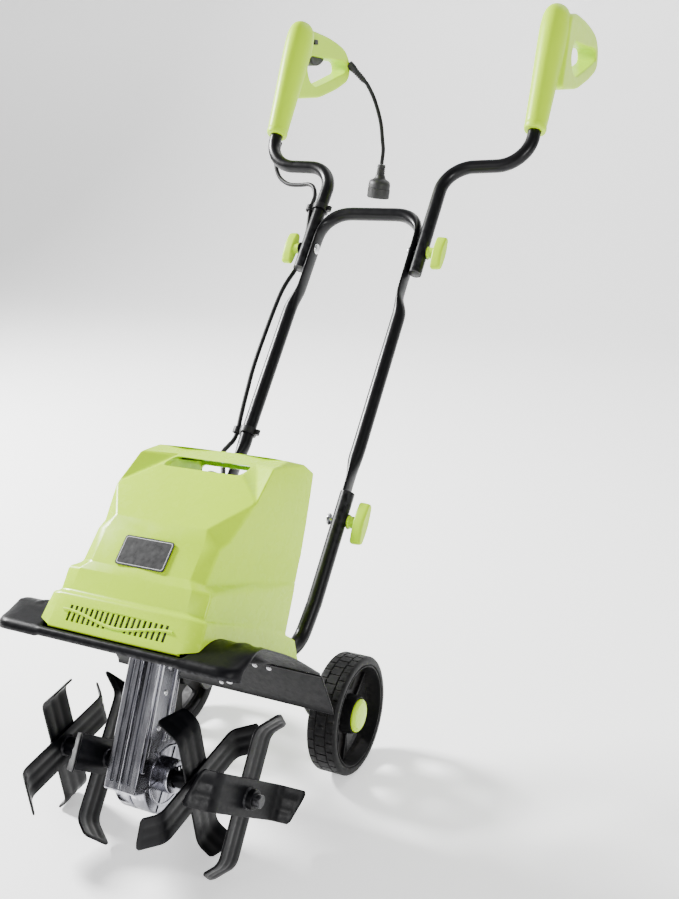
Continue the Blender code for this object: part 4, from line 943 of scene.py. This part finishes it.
COLUMN = [(-0.0618, -0.02), (-0.01, -0.02), (-0.01, 0.078), (-0.014, 0.13), (-0.014, 0.136),
          (-0.0618, 0.136)]
for side, sx in SIDES:
    lo, hi = both(sx, 0.00015, 0.0215)
    half = link("gearbox_half_" + side, bevel(prism(COLUMN, lo, hi), 0.0022, 3), CAST, HEAD)
    join(half, rod(0.046, lo, hi, "X", (0, 0, 0), 64, 0.0025), HEAD)
    b0, b1 = both(sx, 0.0205, 0.0345)
    join(half, rod(0.02, b0, b1, "X", (0, 0, 0), 48, 0.0018), HEAD)
    # Ribs down the side, a ring round the boss and six ribs spreading out from it.
    r0, r1 = both(sx, 0.02, 0.0235)
    join(half, bevel(box(r0, r1, -0.056, -0.05, 0.005, 0.133), 0.0012, 2), HEAD)
    join(half, bevel(box(r0, r1, -0.026, -0.02, 0.04, 0.133), 0.0012, 2), HEAD)
    g0, g1 = both(sx, 0.02, 0.0226)
    join(half, bevel(ring(0.033, 0.036, g0, g1, "X", (0, 0, 0), 56), 0.0008, 2), HEAD)
    for k in range(6):
        a = math.radians(20 + 60 * k)
        join(half, spun(box(g0, g1, 0.0195, 0.044, -0.0012, 0.0012), a), HEAD)
    # Upright flutes down the front of the column.
    flutes = []
    for x, wide in ((0.0035, 0.0022), (0.0118, 0.0026)):
        f0, f1 = sorted((x * sx - wide, x * sx + wide))
        flutes.append(bevel(box(f0, f1, -0.0645, -0.0592, -0.01, 0.131), 0.0012, 2))
    cut(half, merged(*flutes), HEAD)
    w0, w1 = both(sx, -0.02, 0.009)
    cut(half, rod(0.0285, w0, w1, "X", (0, 0, 0), 40), HEAD)
    cut(half, rod(0.0125, -0.012, 0.12, "Z", (0, MOTOR_U, 0), 32), HEAD)
    cut(half, rod(0.0145, 0.118, 0.15, "Z", (0, MOTOR_U, 0), 32), HEAD)
    s0, s1 = both(sx, 0.008, 0.0198)
    cut(half, rod(0.0163, s0, s1, "X", (0, 0, 0), 32), HEAD)
    h0, h1 = both(sx, 0.018, 0.04)
    cut(half, rod(0.0125, h0, h1, "X", (0, 0, 0), 40), HEAD)
    soften(half, 0.0005, 2, 40)
    piece(half, "chassis", "gearbox_" + side)
    for k, (u, w) in enumerate(((-0.0385, 0.056), (-0.0385, 0.096), (-0.0385, 0.126), (0.018, 0.04))):
        if k == 3 and sx < 0:
            continue
        place = HEAD @ Matrix.Translation((0.0215 * sx, u, w if k < 3 else 0.033))
        head = [(0, 0.0022), (0.0013, 0.0022), (0.0015, 0.0014), (0.0031, 0.0014), (0.0036, 0.0009),
                (0.0037, 0.0), (0.0037, -0.001), (0, -0.001)]
        screw = link("gearbox_screw_" + side + "_" + str(k),
                     revolved([(r, v * sx) for r, v in head], "X", (0, 0, 0),
                                                                      24), STEEL, place)
        piece(screw, "chassis")

flange = link("flange_ring", rod(0.048, 0.1363, 0.14, "Z", (0, MOTOR_U, 0), 64, 0.0006), PAINT, HEAD)
cut(flange, rod(0.0145, 0.1, 0.2, "Z", (0, MOTOR_U, 0), 40), HEAD)
piece(soften(flange, 0.0004, 2), "chassis", "motor_flange")

# ---------------------------------------------------------------- tines


def arm_rows(b):
    """Stations of one arm out from the shaft: rows of (x, y, z, nx, nz) across the strip."""
    half = BLADE_W / 2
    tall = math.sqrt(TINE_REACH * TINE_REACH - half * half) - 0.73 * BLADE_T / 2
    ys = [-half, -half + 0.0006, -half + 0.004, -0.0105, -0.0085, -0.006, -0.004, 0.0, 0.004, 0.006, 0.0085,
          0.0105, half - 0.004, half - 0.0006, half]
    rise = tall - FOLD_R
    span = math.hypot(TIP_OUT, rise)
    way = Vector((TIP_OUT * b / span, rise / span))
    blend_len = 0.01
    rows = []
    for z in (0.0, 0.012, 0.024, 0.04, 0.055, FOLD_R - blend_len):
        rows.append([(0.0, y, z, 1.0, 0.0, y, 0.0) for y in ys])
    for i in range(1, 9):
        t = i / 8
        p0 = Vector((0, FOLD_R - blend_len))
        p1 = Vector((0, FOLD_R))
        p2 = p1 + way * blend_len * 0.8
        p = p0 * (1 - t) * (1 - t) + p1 * 2 * t * (1 - t) + p2 * t * t
        d = ((p1 - p0) * (1 - t) + (p2 - p1) * t).normalized()
        rows.append([(p.x, y, p.y, d.y, -d.x, y, 0.0) for y in ys])
    for i in range(1, 11):
        f = i / 10
        row = []
        for y in ys:
            share = 1.0 - 0.38 * (y + half) / BLADE_W
            corner = max(0.0, 0.005 - (y + half)) / span * 0.8
            far_corner = max(0.0, 0.003 - (half - y)) / span * 0.8
            reach = span * (share - corner - far_corner)
            s = blend_len * 0.8 + (reach - blend_len * 0.8) * f
            p = Vector((0, FOLD_R)) + way * s
            row.append((p.x, y, p.y, way.y, -way.x, y, f))
        rows.append(row)
    return rows


def tine_sheet(angle, b_near, b_far, offset):
    far = arm_rows(b_far)
    near = arm_rows(b_near)
    rows = []
    for row in reversed(far[1:]):
        rows.append([(x, -y, -z, nx, -nz, v, f) for x, y, z, nx, nz, v, f in reversed(row)])
    rows += near
    rings = []
    for k, row in enumerate(rows):
        end = 0.55 if k in (0, len(rows) - 1) else 1.0
        front = []
        back = []
        for m, (x, y, z, nx, nz, v, f) in enumerate(row):
            t = BLADE_T / 2 * end * (0.55 if m in (0, len(row) - 1) else 1.0)
            groove = 0.0007 if 0.0035 < abs(v) < 0.009 and f < 0.75 else 0.0
            front.append(Vector((x + nx * (t - groove), y, z + nz * (t - groove))))
            back.append(Vector((x - nx * (t - groove), y, z - nz * (t - groove))))
        rings.append(front + list(reversed(back)))
    bm = loft(rings)
    bmesh.ops.translate(bm, verts=bm.verts, vec=Vector((offset, 0, 0)))
    return spun(bm, -angle)


TYPE_A = ((170, 1, -1), (80, 1, -1))
TYPE_B = ((35, 1, -1), (125, 1, -1))
TINES = (("outer_left", -0.13, TYPE_A, -1), ("inner_left", -0.066, TYPE_B, -1),
         ("inner_right", 0.066, TYPE_A, 1), ("outer_right", 0.13, TYPE_B, 1))
for name, x, arms, sx in TINES:
    inner = abs(x) < 0.1
    if inner:
        h0, h1 = both(sx, -0.029, 0.0292)
    else:
        h0, h1 = both(sx, -0.034, 0.012)
    sheets = [tine_sheet(math.radians(d), o * sx, f * sx, 0.00145 * (2 * k - 1)) for k,
              (d, o, f) in enumerate(arms)]
    hub = ring(SHAFT_R + GAP, HUB_R, h0, h1, "X", (0, 0, 0), 48)
    bevel(hub, 0.0006, 2)
    weld = []
    for side in (-1, 1):
        bead = []
        for a in turns(48):
            fat = 0.0022 + 0.0004 * math.sin(9 * a) + 0.0002 * math.sin(23 * a)
            bead.append([Vector((side * (0.0029 + d * fat), (HUB_R - 0.0004 + r * fat) * math.cos(a),
                                 (HUB_R - 0.0004 + r * fat) * math.sin(a)))
                         for d, r in ((0, 0), (1, 0), (0.7, 0.6), (0, 1))])
        weld.append(loft(bead, True))
    body = link("tine_" + name + "_strips", merged(*sheets, hub, *weld), BLADE,
                Matrix.Translation((x, 0, 0)) @ FLOOR, False)
    body.data.set_sharp_from_angle(angle=math.radians(40))
    piece(body, "tines", "tine_" + name)

# ---------------------------------------------------------------- tubes


def lean_point(x, s):
    return Vector((x, 0.5448 + math.sin(LEAN) * s, 0.6 + math.cos(LEAN) * s))


LEAN_NORMAL = (0, math.cos(LEAN), -math.sin(LEAN))
BAR_S = 0.1295
FLAT_X = UPPER_X - TUBE_R - GAP - FLAT_R
LOW_FLAT_X = LOWER_X - TUBE_R - GAP - FLAT_R


def middle_half(sx):
    rows = [(LOW_FLAT_X, -0.393, 1), (LOW_FLAT_X, -0.304, 1), (MIDDLE_X - 0.0008, -0.276, 0),
            (MIDDLE_X, -0.26, 0), (MIDDLE_X, -0.04, 0), (FLAT_X, -0.012, 1), (FLAT_X, 0.072, 1)]
    out = [(Vector((sx * x, 0, 0)) + lean_point(0, s), flat) for x, s, flat in rows]
    r = BAR_S - 0.09
    for k in range(1, 13):
        a = math.pi / 2 * k / 12
        x = FLAT_X - r * (1 - math.cos(a))
        s = 0.09 + r * math.sin(a)
        out.append((Vector((sx * x, 0, 0)) + lean_point(0, s), max(0.0, 1.3 - 0.225 * k)))
    return out


def flat_sizes(rows):
    return [(TUBE_R + (FLAT_R - TUBE_R) * f, TUBE_R + (FLAT_W - TUBE_R) * f) for _, f in rows]


def drill(ob, sx, near, far, bolt):
    """Bolt hole through one wall or tube, between near and far on side sx."""
    cut(ob, rod(BOLT_R + GAP, *both(sx, near, far), "X", (0, bolt[0], bolt[1]), 24), WORLD)


rows = evened(middle_half(-1) + list(reversed(middle_half(1))), 0.004, 5)
middle = link("middle_tube_bent", pipe([p for p, _ in rows], flat_sizes(rows), LEAN_NORMAL), PAINT, WORLD)
for side, sx in SIDES:
    slope = 0.84
    low = Vector((sx * UPPER_X, UPPER_BOLT[0] - slope * 0.0285, UPPER_BOLT[1] - 0.0285))
    turn = Vector((sx * UPPER_X, 0.6825, 0.767))
    turn_2 = Vector((sx * GRIP_X, 0.6885, 0.7715))
    grip_end = Vector((sx * GRIP_X, 0.717, 0.8185))
    top = grip_end + Vector((0, math.sin(GRIP_LEAN), math.cos(GRIP_LEAN))) * 0.06
    path = fillet([low, turn, turn_2, grip_end, top], [0.046, 0.05, 0.06], 22)
    tube = link("upper_tube_bent_" + side, pipe(path, [(TUBE_R, TUBE_R)] * len(path), LEAN_NORMAL), PAINT,
                WORLD)
    foot = head_point(sx * 0.096, 0.055, 0.1607)
    corner = head_point(sx * 0.1, 0.117, 0.16)
    knee = Vector((sx * LOWER_X, 0.5156 + 0.8314 * (0.24 - 0.6), 0.24))
    crown = Vector((sx * LOWER_X, 0.5156 + 0.8314 * (0.359 - 0.6), 0.359))
    arc = fillet([foot, corner, knee, crown], [0.04, 0.0], 24)
    leg = link("lower_tube_bent_" + side, pipe(arc, [(TUBE_R, TUBE_R)] * len(arc), (1, 0, 0)), PAINT, WORLD)
    drill(leg, sx, 0.09, 0.13, LOWER_BOLT)
    shade(leg, 50)
    piece(leg, "chassis", "lower_tube_" + side)
    drill(tube, sx, 0.08, 0.12, UPPER_BOLT)
    shade(tube, 50)
    piece(tube, "upper_handle_" + side, "upper_tube_" + side)
    # Moulded plug in the tube's lower end.
    along = Vector((0, -slope, -1)).normalized()
    spin = along.to_track_quat("Z", "Y").to_matrix().to_4x4()
    cap = [(0, 0.0004), (0.007, 0.0004), (0.0086, -0.0004), (0.0084, -0.006), (0, -0.006)]
    stop = link("tube_stop_" + side, revolved(cap, "Z", (0, 0, 0), 32), BLACK,
                WORLD @ Matrix.Translation(low) @ spin)
    piece(stop, "upper_handle_" + side)

for side, sx in SIDES:
    drill(middle, sx, 0.07, 0.095, UPPER_BOLT)
    drill(middle, sx, 0.08, 0.0944, LOWER_BOLT)
shade(middle, 50)
piece(middle, "middle_handle", "middle_tube")

# ---------------------------------------------------------------- bolts and wing knobs

JOINTS = (("upper", UPPER_BOLT, FLAT_X - FLAT_R, UPPER_X + TUBE_R, "middle_handle"),
          ("lower", LOWER_BOLT, LOW_FLAT_X - FLAT_R, LOWER_X + TUBE_R, "chassis"))


def wing(length, sx, start):
    half = length / 2
    outline = [(-half, -0.0045), (-half * 0.45, -0.0085), (0, -0.01), (half * 0.45, -0.0085), (half, -0.0045),
               (half, 0.0045), (half * 0.45, 0.0085), (0, 0.01), (-half * 0.45, 0.0085), (-half, 0.0045)]
    outline = rounded(outline, 0.004, 5)
    rings = []
    for d, share in ((0.0, 0.86), (0.0008, 0.95), (0.0022, 1.0), (0.01, 0.97), (0.0128, 0.92), (0.0143, 0.84),
                     (0.015, 0.74)):
        rings.append([Vector(((start + d) * sx, y * (1 - (1 - share) * 0.3), z * share)) for y, z in outline])
    return spun(loft(rings), math.radians(54))


for level, centre, x_head, x_knob, holder in JOINTS:
    for side, sx in SIDES:
        c = (0, centre[0], centre[1])
        x0 = x_head - GAP
        dome = [(0, 0.0034)]
        dome += [(0.008 * math.sin(math.pi / 2 * i / 8),
                  0.0034 * math.cos(math.pi / 2 * i / 8)) for i in range(1, 8)]
        outline = [(r, sx * (x0 - d)) for r, d in dome]
        outline += [(0.008, sx * x0), (BOLT_R, sx * x0), (BOLT_R, sx * (x_knob + 0.013)),
                    (0, sx * (x_knob + 0.013))]
        bolt = link("carriage_bolt_" + level + "_" + side, revolved(outline, "X", c, 40), STEEL, WORLD)
        piece(bolt, holder, "bolt_" + level + "_" + side)
        start = x_knob + GAP
        place = WORLD @ Matrix.Translation(c)
        boss = [(0.0032, 0.0), (0.0086, 0.0), (0.009, 0.0006), (0.009, 0.0022), (0.008, 0.003),
                (0.0078, 0.0115), (0.0074, 0.0122), (0.0032, 0.0125)]
        knob = link("wing_knob_" + level + "_" + side,
                    revolved([(r, sx * (start + d)) for r, d in boss], "X", (0, 0, 0), 40), LIME_GRIP, place)
        join(knob, wing(0.052 if level == "upper" else 0.057, sx, start + 0.0105), place)
        k0, k1 = sorted(((start - 0.005) * sx, (x_knob + 0.0135) * sx))
        cut(knob, rod(BOLT_R + GAP, k0, k1, "X", (0, 0, 0), 24), place)
        soften(knob, 0.0006, 2, 38)
        piece(knob, "knob_" + level + "_" + side, "knob_" + level + "_" + side)
        washer = ring(BOLT_R + 0.0006, 0.0098, *sorted((sx * (start - 0.0002), sx * (start + 0.0008))), "X",
                      c, 40)
        piece(link("washer_" + level + "_" + side, bevel(washer, 0.0002, 1), BLACK, WORLD),
              "knob_" + level + "_" + side)

# ---------------------------------------------------------------- grips

FINE = ((0.0, 0.0156, 0.0172), (0.0006, 0.0162, 0.0178), (0.0074, 0.0172, 0.019), (0.0082, 0.017, 0.0188),
        (0.0094, 0.016, 0.0178), (0.0112, 0.016, 0.0178), (0.0124, 0.0167, 0.0185), (0.04, 0.0175, 0.0203),
        (0.07, 0.0184, 0.0222), (0.1, 0.0197, 0.0242), (0.125, 0.0208, 0.0258), (0.148, 0.0217, 0.0267),
        (0.165, 0.0222, 0.027), (0.178, 0.022, 0.0267), (0.189, 0.0212, 0.0255), (0.1965, 0.0194, 0.0231),
        (0.202, 0.017, 0.02), (0.2056, 0.0138, 0.016), (0.2078, 0.0105, 0.012), (0.2085, 0.0075, 0.0088))
HOLLOW = [row for row in FINE if row[0] in (0.07, 0.125, 0.165, 0.189)]


def grip_foot(sx):
    """Lower end of the grip's axis, in the tubes' frame."""
    return Vector((sx * GRIP_X, 0.717, 0.8185))


def bar_rings(sx, sections, thin=0.0, count=48):
    """Oval sections of the grip bar, made smaller by thin."""
    rings = []
    along = Vector((0, math.sin(GRIP_LEAN), math.cos(GRIP_LEAN)))
    deep = Vector((0, math.cos(GRIP_LEAN), -math.sin(GRIP_LEAN)))
    base = grip_foot(sx)
    for t, a, b in sections:
        rings.append([base + along * t + deep * ((b - thin) * math.sin(v)) + Vector(((a - thin) * math.cos(v),
                                                                                     0, 0))
                      for v in turns(count, 0.5)])
    return rings


LOOP_OUT = [(0.808, 0.988), (0.84, 0.9925), (0.8527, 0.9918), (0.8989, 0.9865), (0.9379, 0.9785),
            (0.964, 0.97), (0.9785, 0.957), (0.984, 0.94), (0.981, 0.923), (0.97, 0.913),
            (0.93, 0.899), (0.8636, 0.883), (0.7818, 0.879), (0.768, 0.883), (0.786, 0.93)]
LOOP_IN = [(0.832, 0.952), (0.9, 0.95), (0.955, 0.95), (0.966, 0.945), (0.967, 0.933),
           (0.96, 0.929), (0.9, 0.913), (0.845, 0.8995), (0.825, 0.908), (0.815, 0.929)]
LOOP_X = (0.2125, 0.2445)
SWITCH = (0.834, 0.904, 0.956, 0.9782)
LOCK = (0.844, 0.9735)
for side, sx in SIDES:
    grip = link("grip_shell_" + side, loft(bar_rings(sx, FINE)), LIME_GRIP, WORLD)
    lo, hi = both(sx, LOOP_X[0], LOOP_X[1])
    join(grip, bevel(prism(rounded(LOOP_OUT, 0.012, 4), lo, hi), 0.0052, 4, 50), WORLD)
    lo, hi = both(sx, 0.18, 0.27)
    cut(grip, prism(rounded(LOOP_IN, 0.01, 5), lo, hi), WORLD)
    applied(grip, "REMESH", mode="VOXEL", voxel_size=0.0014, use_smooth_shade=True)
    applied(grip, "SMOOTH", factor=0.6, iterations=7)
    cut(grip, loft(bar_rings(sx, HOLLOW, 0.0035, 20)), WORLD)
    spin = Matrix.Translation(grip_foot(sx)) @ Matrix.Rotation(-GRIP_LEAN, 4, "X")
    cut(grip, rod(TUBE_R + GAP, -0.02, 0.075, "Z", (0, 0, 0), 40), WORLD @ spin)
    if side == "left":
        cut(grip, box(-0.2405, -0.2175, SWITCH[0], SWITCH[1], SWITCH[2], SWITCH[3]), WORLD)
        cut(grip, box(-0.2352, -0.2218, 0.8455, 0.8975, 0.94, 0.957), WORLD)
        cut(grip, bevel(box(-0.2185, -0.203, LOCK[0] - 0.0064, LOCK[0] + 0.0064, LOCK[1] - 0.0044,
                            LOCK[1] + 0.0044), 0.0016, 3), WORLD)
        cut(grip, rod(0.0074, -0.0033, 0.041, "Z", (0, 0, 0), 32), BOOT_TURN)
        # Lead hook: a slot through the back of the loop.
        cut(grip, rod(0.003, *both(sx, 0.2, 0.26), "X", (0, 0.9745, 0.935), 24), WORLD)
    shade(grip, 44)
    piece(grip, "upper_handle_" + side, "grip_" + side)

trigger_outline = [(0.8463, 0.9625), (0.8463, 0.95), (0.85, 0.94), (0.858, 0.9362), (0.872, 0.937),
                   (0.885, 0.9405), (0.896, 0.947), (0.896, 0.9625)]
trigger = link("trigger_lever", prism(rounded(trigger_outline, 0.004, 5), -0.2348, -0.2222), BLACK, WORLD)
piece(soften(trigger, 0.0016, 4), "trigger", "trigger")
lock = box(-0.2156, -0.2085, LOCK[0] - 0.006, LOCK[0] + 0.006, LOCK[1] - 0.004, LOCK[1] + 0.004)
lock = link("lock_button_cap", bevel(lock, 0.0011, 3), BLACK, WORLD)
cut(lock, merged(*[box(-0.209, -0.206, LOCK[0] + d - 0.0004, LOCK[0] + d + 0.0004, LOCK[1] - 0.0028,
                       LOCK[1] + 0.0028) for d in (-0.003, 0.0, 0.003)]), WORLD)
piece(lock, "lock_button", "lock_button")

# ---------------------------------------------------------------- wheels

WHEEL_HUB = (0, WHEEL_Y, WHEEL_R)
PLATE_X = (0.0817, 0.0857)
for side, sx in SIDES:
    points = [head_point(0, 0.07, 0.168), head_point(0, 0.07, 0.15), head_point(0, 0.092, 0.15)]
    outline = [(p.y, p.z) for p in points]
    for k in range(19):
        a = math.radians(215 + 10 * k)
        outline.append((WHEEL_Y + 0.014 * math.cos(a), WHEEL_R + 0.014 * math.sin(a)))
    p = head_point(0, 0.104, 0.166)
    outline.append((p.y, p.z))
    lo, hi = both(sx, PLATE_X[0], PLATE_X[1])
    arm = link("wheel_bracket_" + side, prism(outline, lo, hi), PAINT, WORLD)
    cut(arm, rod(AXLE_R + GAP, lo - 0.01, hi + 0.01, "X", (0, WHEEL_Y, WHEEL_R), 32), WORLD)
    piece(soften(arm, 0.0009, 3), "chassis", "wheel_arm_" + side)

    outline = [(AXLE_R + 0.0002, 0.1152), (0.014, 0.1152), (0.016, 0.129), (0.017, 0.13), (0.061, 0.13),
               (0.063, 0.1286), (0.064, 0.119), (0.066, 0.1176), (0.0745, 0.1162), (0.0772, 0.1172),
               (0.0784, 0.1192), (0.0784, 0.127), (0.0772, 0.1278), (0.0772, 0.1288), (0.0784, 0.1296),
               (0.0784, 0.1424), (0.0772, 0.1432), (0.0772, 0.1442), (0.0784, 0.145), (0.0784, 0.152),
               (0.0772, 0.154), (0.0745, 0.1556), (0.07, 0.1558), (0.0684, 0.1552), (0.0678, 0.1536),
               (0.0668, 0.1536), (0.066, 0.1552), (0.0648, 0.1552), (0.064, 0.153), (0.0618, 0.14),
               (0.06, 0.1356), (0.058, 0.135), (0.028, 0.135), (0.0262, 0.1358), (0.0244, 0.15),
               (0.024, 0.1518), (0.0232, 0.152), (0.0228, 0.1516), (0.0225, 0.146), (AXLE_R + 0.0002, 0.146)]
    wheel = link("wheel_disc_" + side, revolved([(r, sx * x) for r, x in outline], "X", (0, 0, 0), 96),
                 RUBBER, WORLD @ Matrix.Translation(WHEEL_HUB))
    windows = []
    for k in range(5):
        window = prism(rounded([(0.03, -0.0085), (0.056, -0.019), (0.0585, 0.0), (0.056, 0.019),
                                (0.03, 0.0085)], 0.006, 5), *both(sx, 0.125, 0.14))
        windows.append(spun(window, 2 * math.pi * k / 5))
    cut(wheel, merged(*windows), WORLD @ Matrix.Translation(WHEEL_HUB))
    treads = []
    for row, (t0, t1, shift) in enumerate(((0.118, 0.1276, 0.0), (0.1292, 0.1428, 0.5),
                                           (0.1444, 0.153, 0.0))):
        for k in range(36):
            groove = box(*both(sx, t0, t1), 0.0771, 0.08, -0.0011, 0.0011)
            treads.append(spun(groove, 2 * math.pi * (k + shift) / 36))
    cut(wheel, merged(*treads), WORLD @ Matrix.Translation(WHEEL_HUB))
    ribs = []
    for k in range(5):
        rib = box(*both(sx, 0.1345, 0.1395), 0.027, 0.061, -0.0013, 0.0013)
        ribs.append(bevel(spun(rib, 2 * math.pi * (k + 0.5) / 5), 0.0005, 2))
    join(wheel, merged(*ribs), WORLD @ Matrix.Translation(WHEEL_HUB))
    soften(wheel, 0.0004, 2, 44)
    piece(wheel, "wheel_" + side, "wheel_" + side)
    cap = [(0, 0.1515), (0.0214, 0.1515), (0.0218, 0.152), (0.0218, 0.1538), (0.0212, 0.1548),
           (0.0195, 0.156), (0.0182, 0.1565), (0.0178, 0.1562), (0.0174, 0.1562), (0.017, 0.1567),
           (0.01, 0.1575), (0, 0.15772)]
    hub_cap = link("hub_cap_" + side, revolved([(r, sx * x) for r, x in cap], "X", WHEEL_HUB, 72), LIME,
                   WORLD)
    piece(hub_cap, "wheel_" + side, "wheel_cap_" + side)

# ---------------------------------------------------------------- strap, clips and cables

DECK_TOP = DECK_MID_W + DECK_T
strap = link("deck_strap", box(-0.084, 0.084, 0.05, 0.062, DECK_TOP + GAP, DECK_TOP + 0.003), PAINT, HEAD)
piece(soften(strap, 0.0008, 3), "chassis", "tube_clamp")

CLIPS = (("upper", Vector((-UPPER_X, 0.6322, 0.7066)), "upper_handle_left"),
         ("lower", lean_point(-MIDDLE_X, -0.252), "middle_handle"))
for level, centre, holder in CLIPS:
    place = WORLD @ Matrix.Translation(centre) @ Matrix.Rotation(-LEAN, 4, "X")
    clip = link("clip_" + level, ring(TUBE_R + GAP, 0.013, -0.0045, 0.0045, "Z", (0, 0, 0), 48), BLACK, place)
    join(clip, ring(0.0046, 0.0068, -0.0045, 0.0045, "Z", (-0.018, 0, 0), 36), place)
    join(clip, rod(0.0036, -0.004, 0.004, "Z", (0.0155, 0, 0), 28), place)
    soften(clip, 0.0007, 3, 40)
    piece(clip, holder, "cable_clip_" + level)

CABLE_R = 0.0034
upper_run = [(-0.2213, 0.7312, 0.8078), (-0.221, 0.7225, 0.7945), (-0.2185, 0.71, 0.773),
             (-0.2095, 0.702, 0.756), (-0.1975, 0.696, 0.7468), (-0.1816, 0.69, 0.7414),
             (-0.1602, 0.685, 0.7409), (-0.1408, 0.68, 0.742), (-0.128, 0.672, 0.737),
             (-0.119, 0.658, 0.7235), (-0.1131, 0.6322, 0.7066), (-0.1096, 0.616, 0.678),
             (-0.1094, 0.606, 0.661)]
middle_run = [(-0.1094, 0.6054, 0.66), (-0.1094, 0.5965, 0.643), (-0.11, 0.576, 0.62),
              (-0.112, 0.5265, 0.5839), (-0.112, 0.4532, 0.5025), (-0.1105, 0.418, 0.454),
              (-0.1085, 0.395, 0.42), (-0.107, 0.3847, 0.4054), (-0.1075, 0.3735, 0.3935),
              (-0.107, 0.362, 0.39)]
head_run = [(-0.1069, 0.361, 0.3899), (-0.1, 0.33, 0.384), (-0.08, 0.3, 0.368),
            (-0.055, 0.25, 0.333), head_point(-0.033, 0.125, 0.292), head_point(-0.021, 0.098, 0.278),
            head_point(-0.02, 0.08, 0.277), head_point(-0.02, 0.06, 0.277)]
piece(link("cable_run_upper", sweep(smooth_path(upper_run, 0.004), CABLE_R), CABLE), "upper_handle_left",
      "motor_cable_upper")
piece(link("cable_run_middle", sweep(smooth_path(middle_run, 0.004), CABLE_R), CABLE), "middle_handle",
      "motor_cable_middle")
head_points = smooth_path(head_run, 0.004)
cable_head = link("cable_run_head", sweep(head_points, CABLE_R), CABLE)
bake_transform(cable_head)
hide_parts("motor_cable_head")

# ---------------------------------------------------------------- finish on the CAD bodies that stay

KEPT = (("tine_shaft", OXIDE), ("tine_pin_left", STEEL), ("tine_pin_right", STEEL), ("worm_wheel", BRONZE),
        ("worm_shaft", STEEL), ("shaft_bearing_left", STEEL), ("shaft_bearing_right", STEEL),
        ("oil_seal_left", SOFT), ("oil_seal_right", SOFT), ("motor_case", STEEL), ("stator_core", CORE),
        ("rotor", BRONZE), ("motor_bearing_lower", STEEL), ("motor_bearing_upper", STEEL),
        ("cooling_fan", BLACK), ("switch_block", BLACK), ("wheel_axle", STEEL))
for node, mat in KEPT:
    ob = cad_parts[node]
    ob.data.materials.clear()
    ob.data.materials.append(mat)
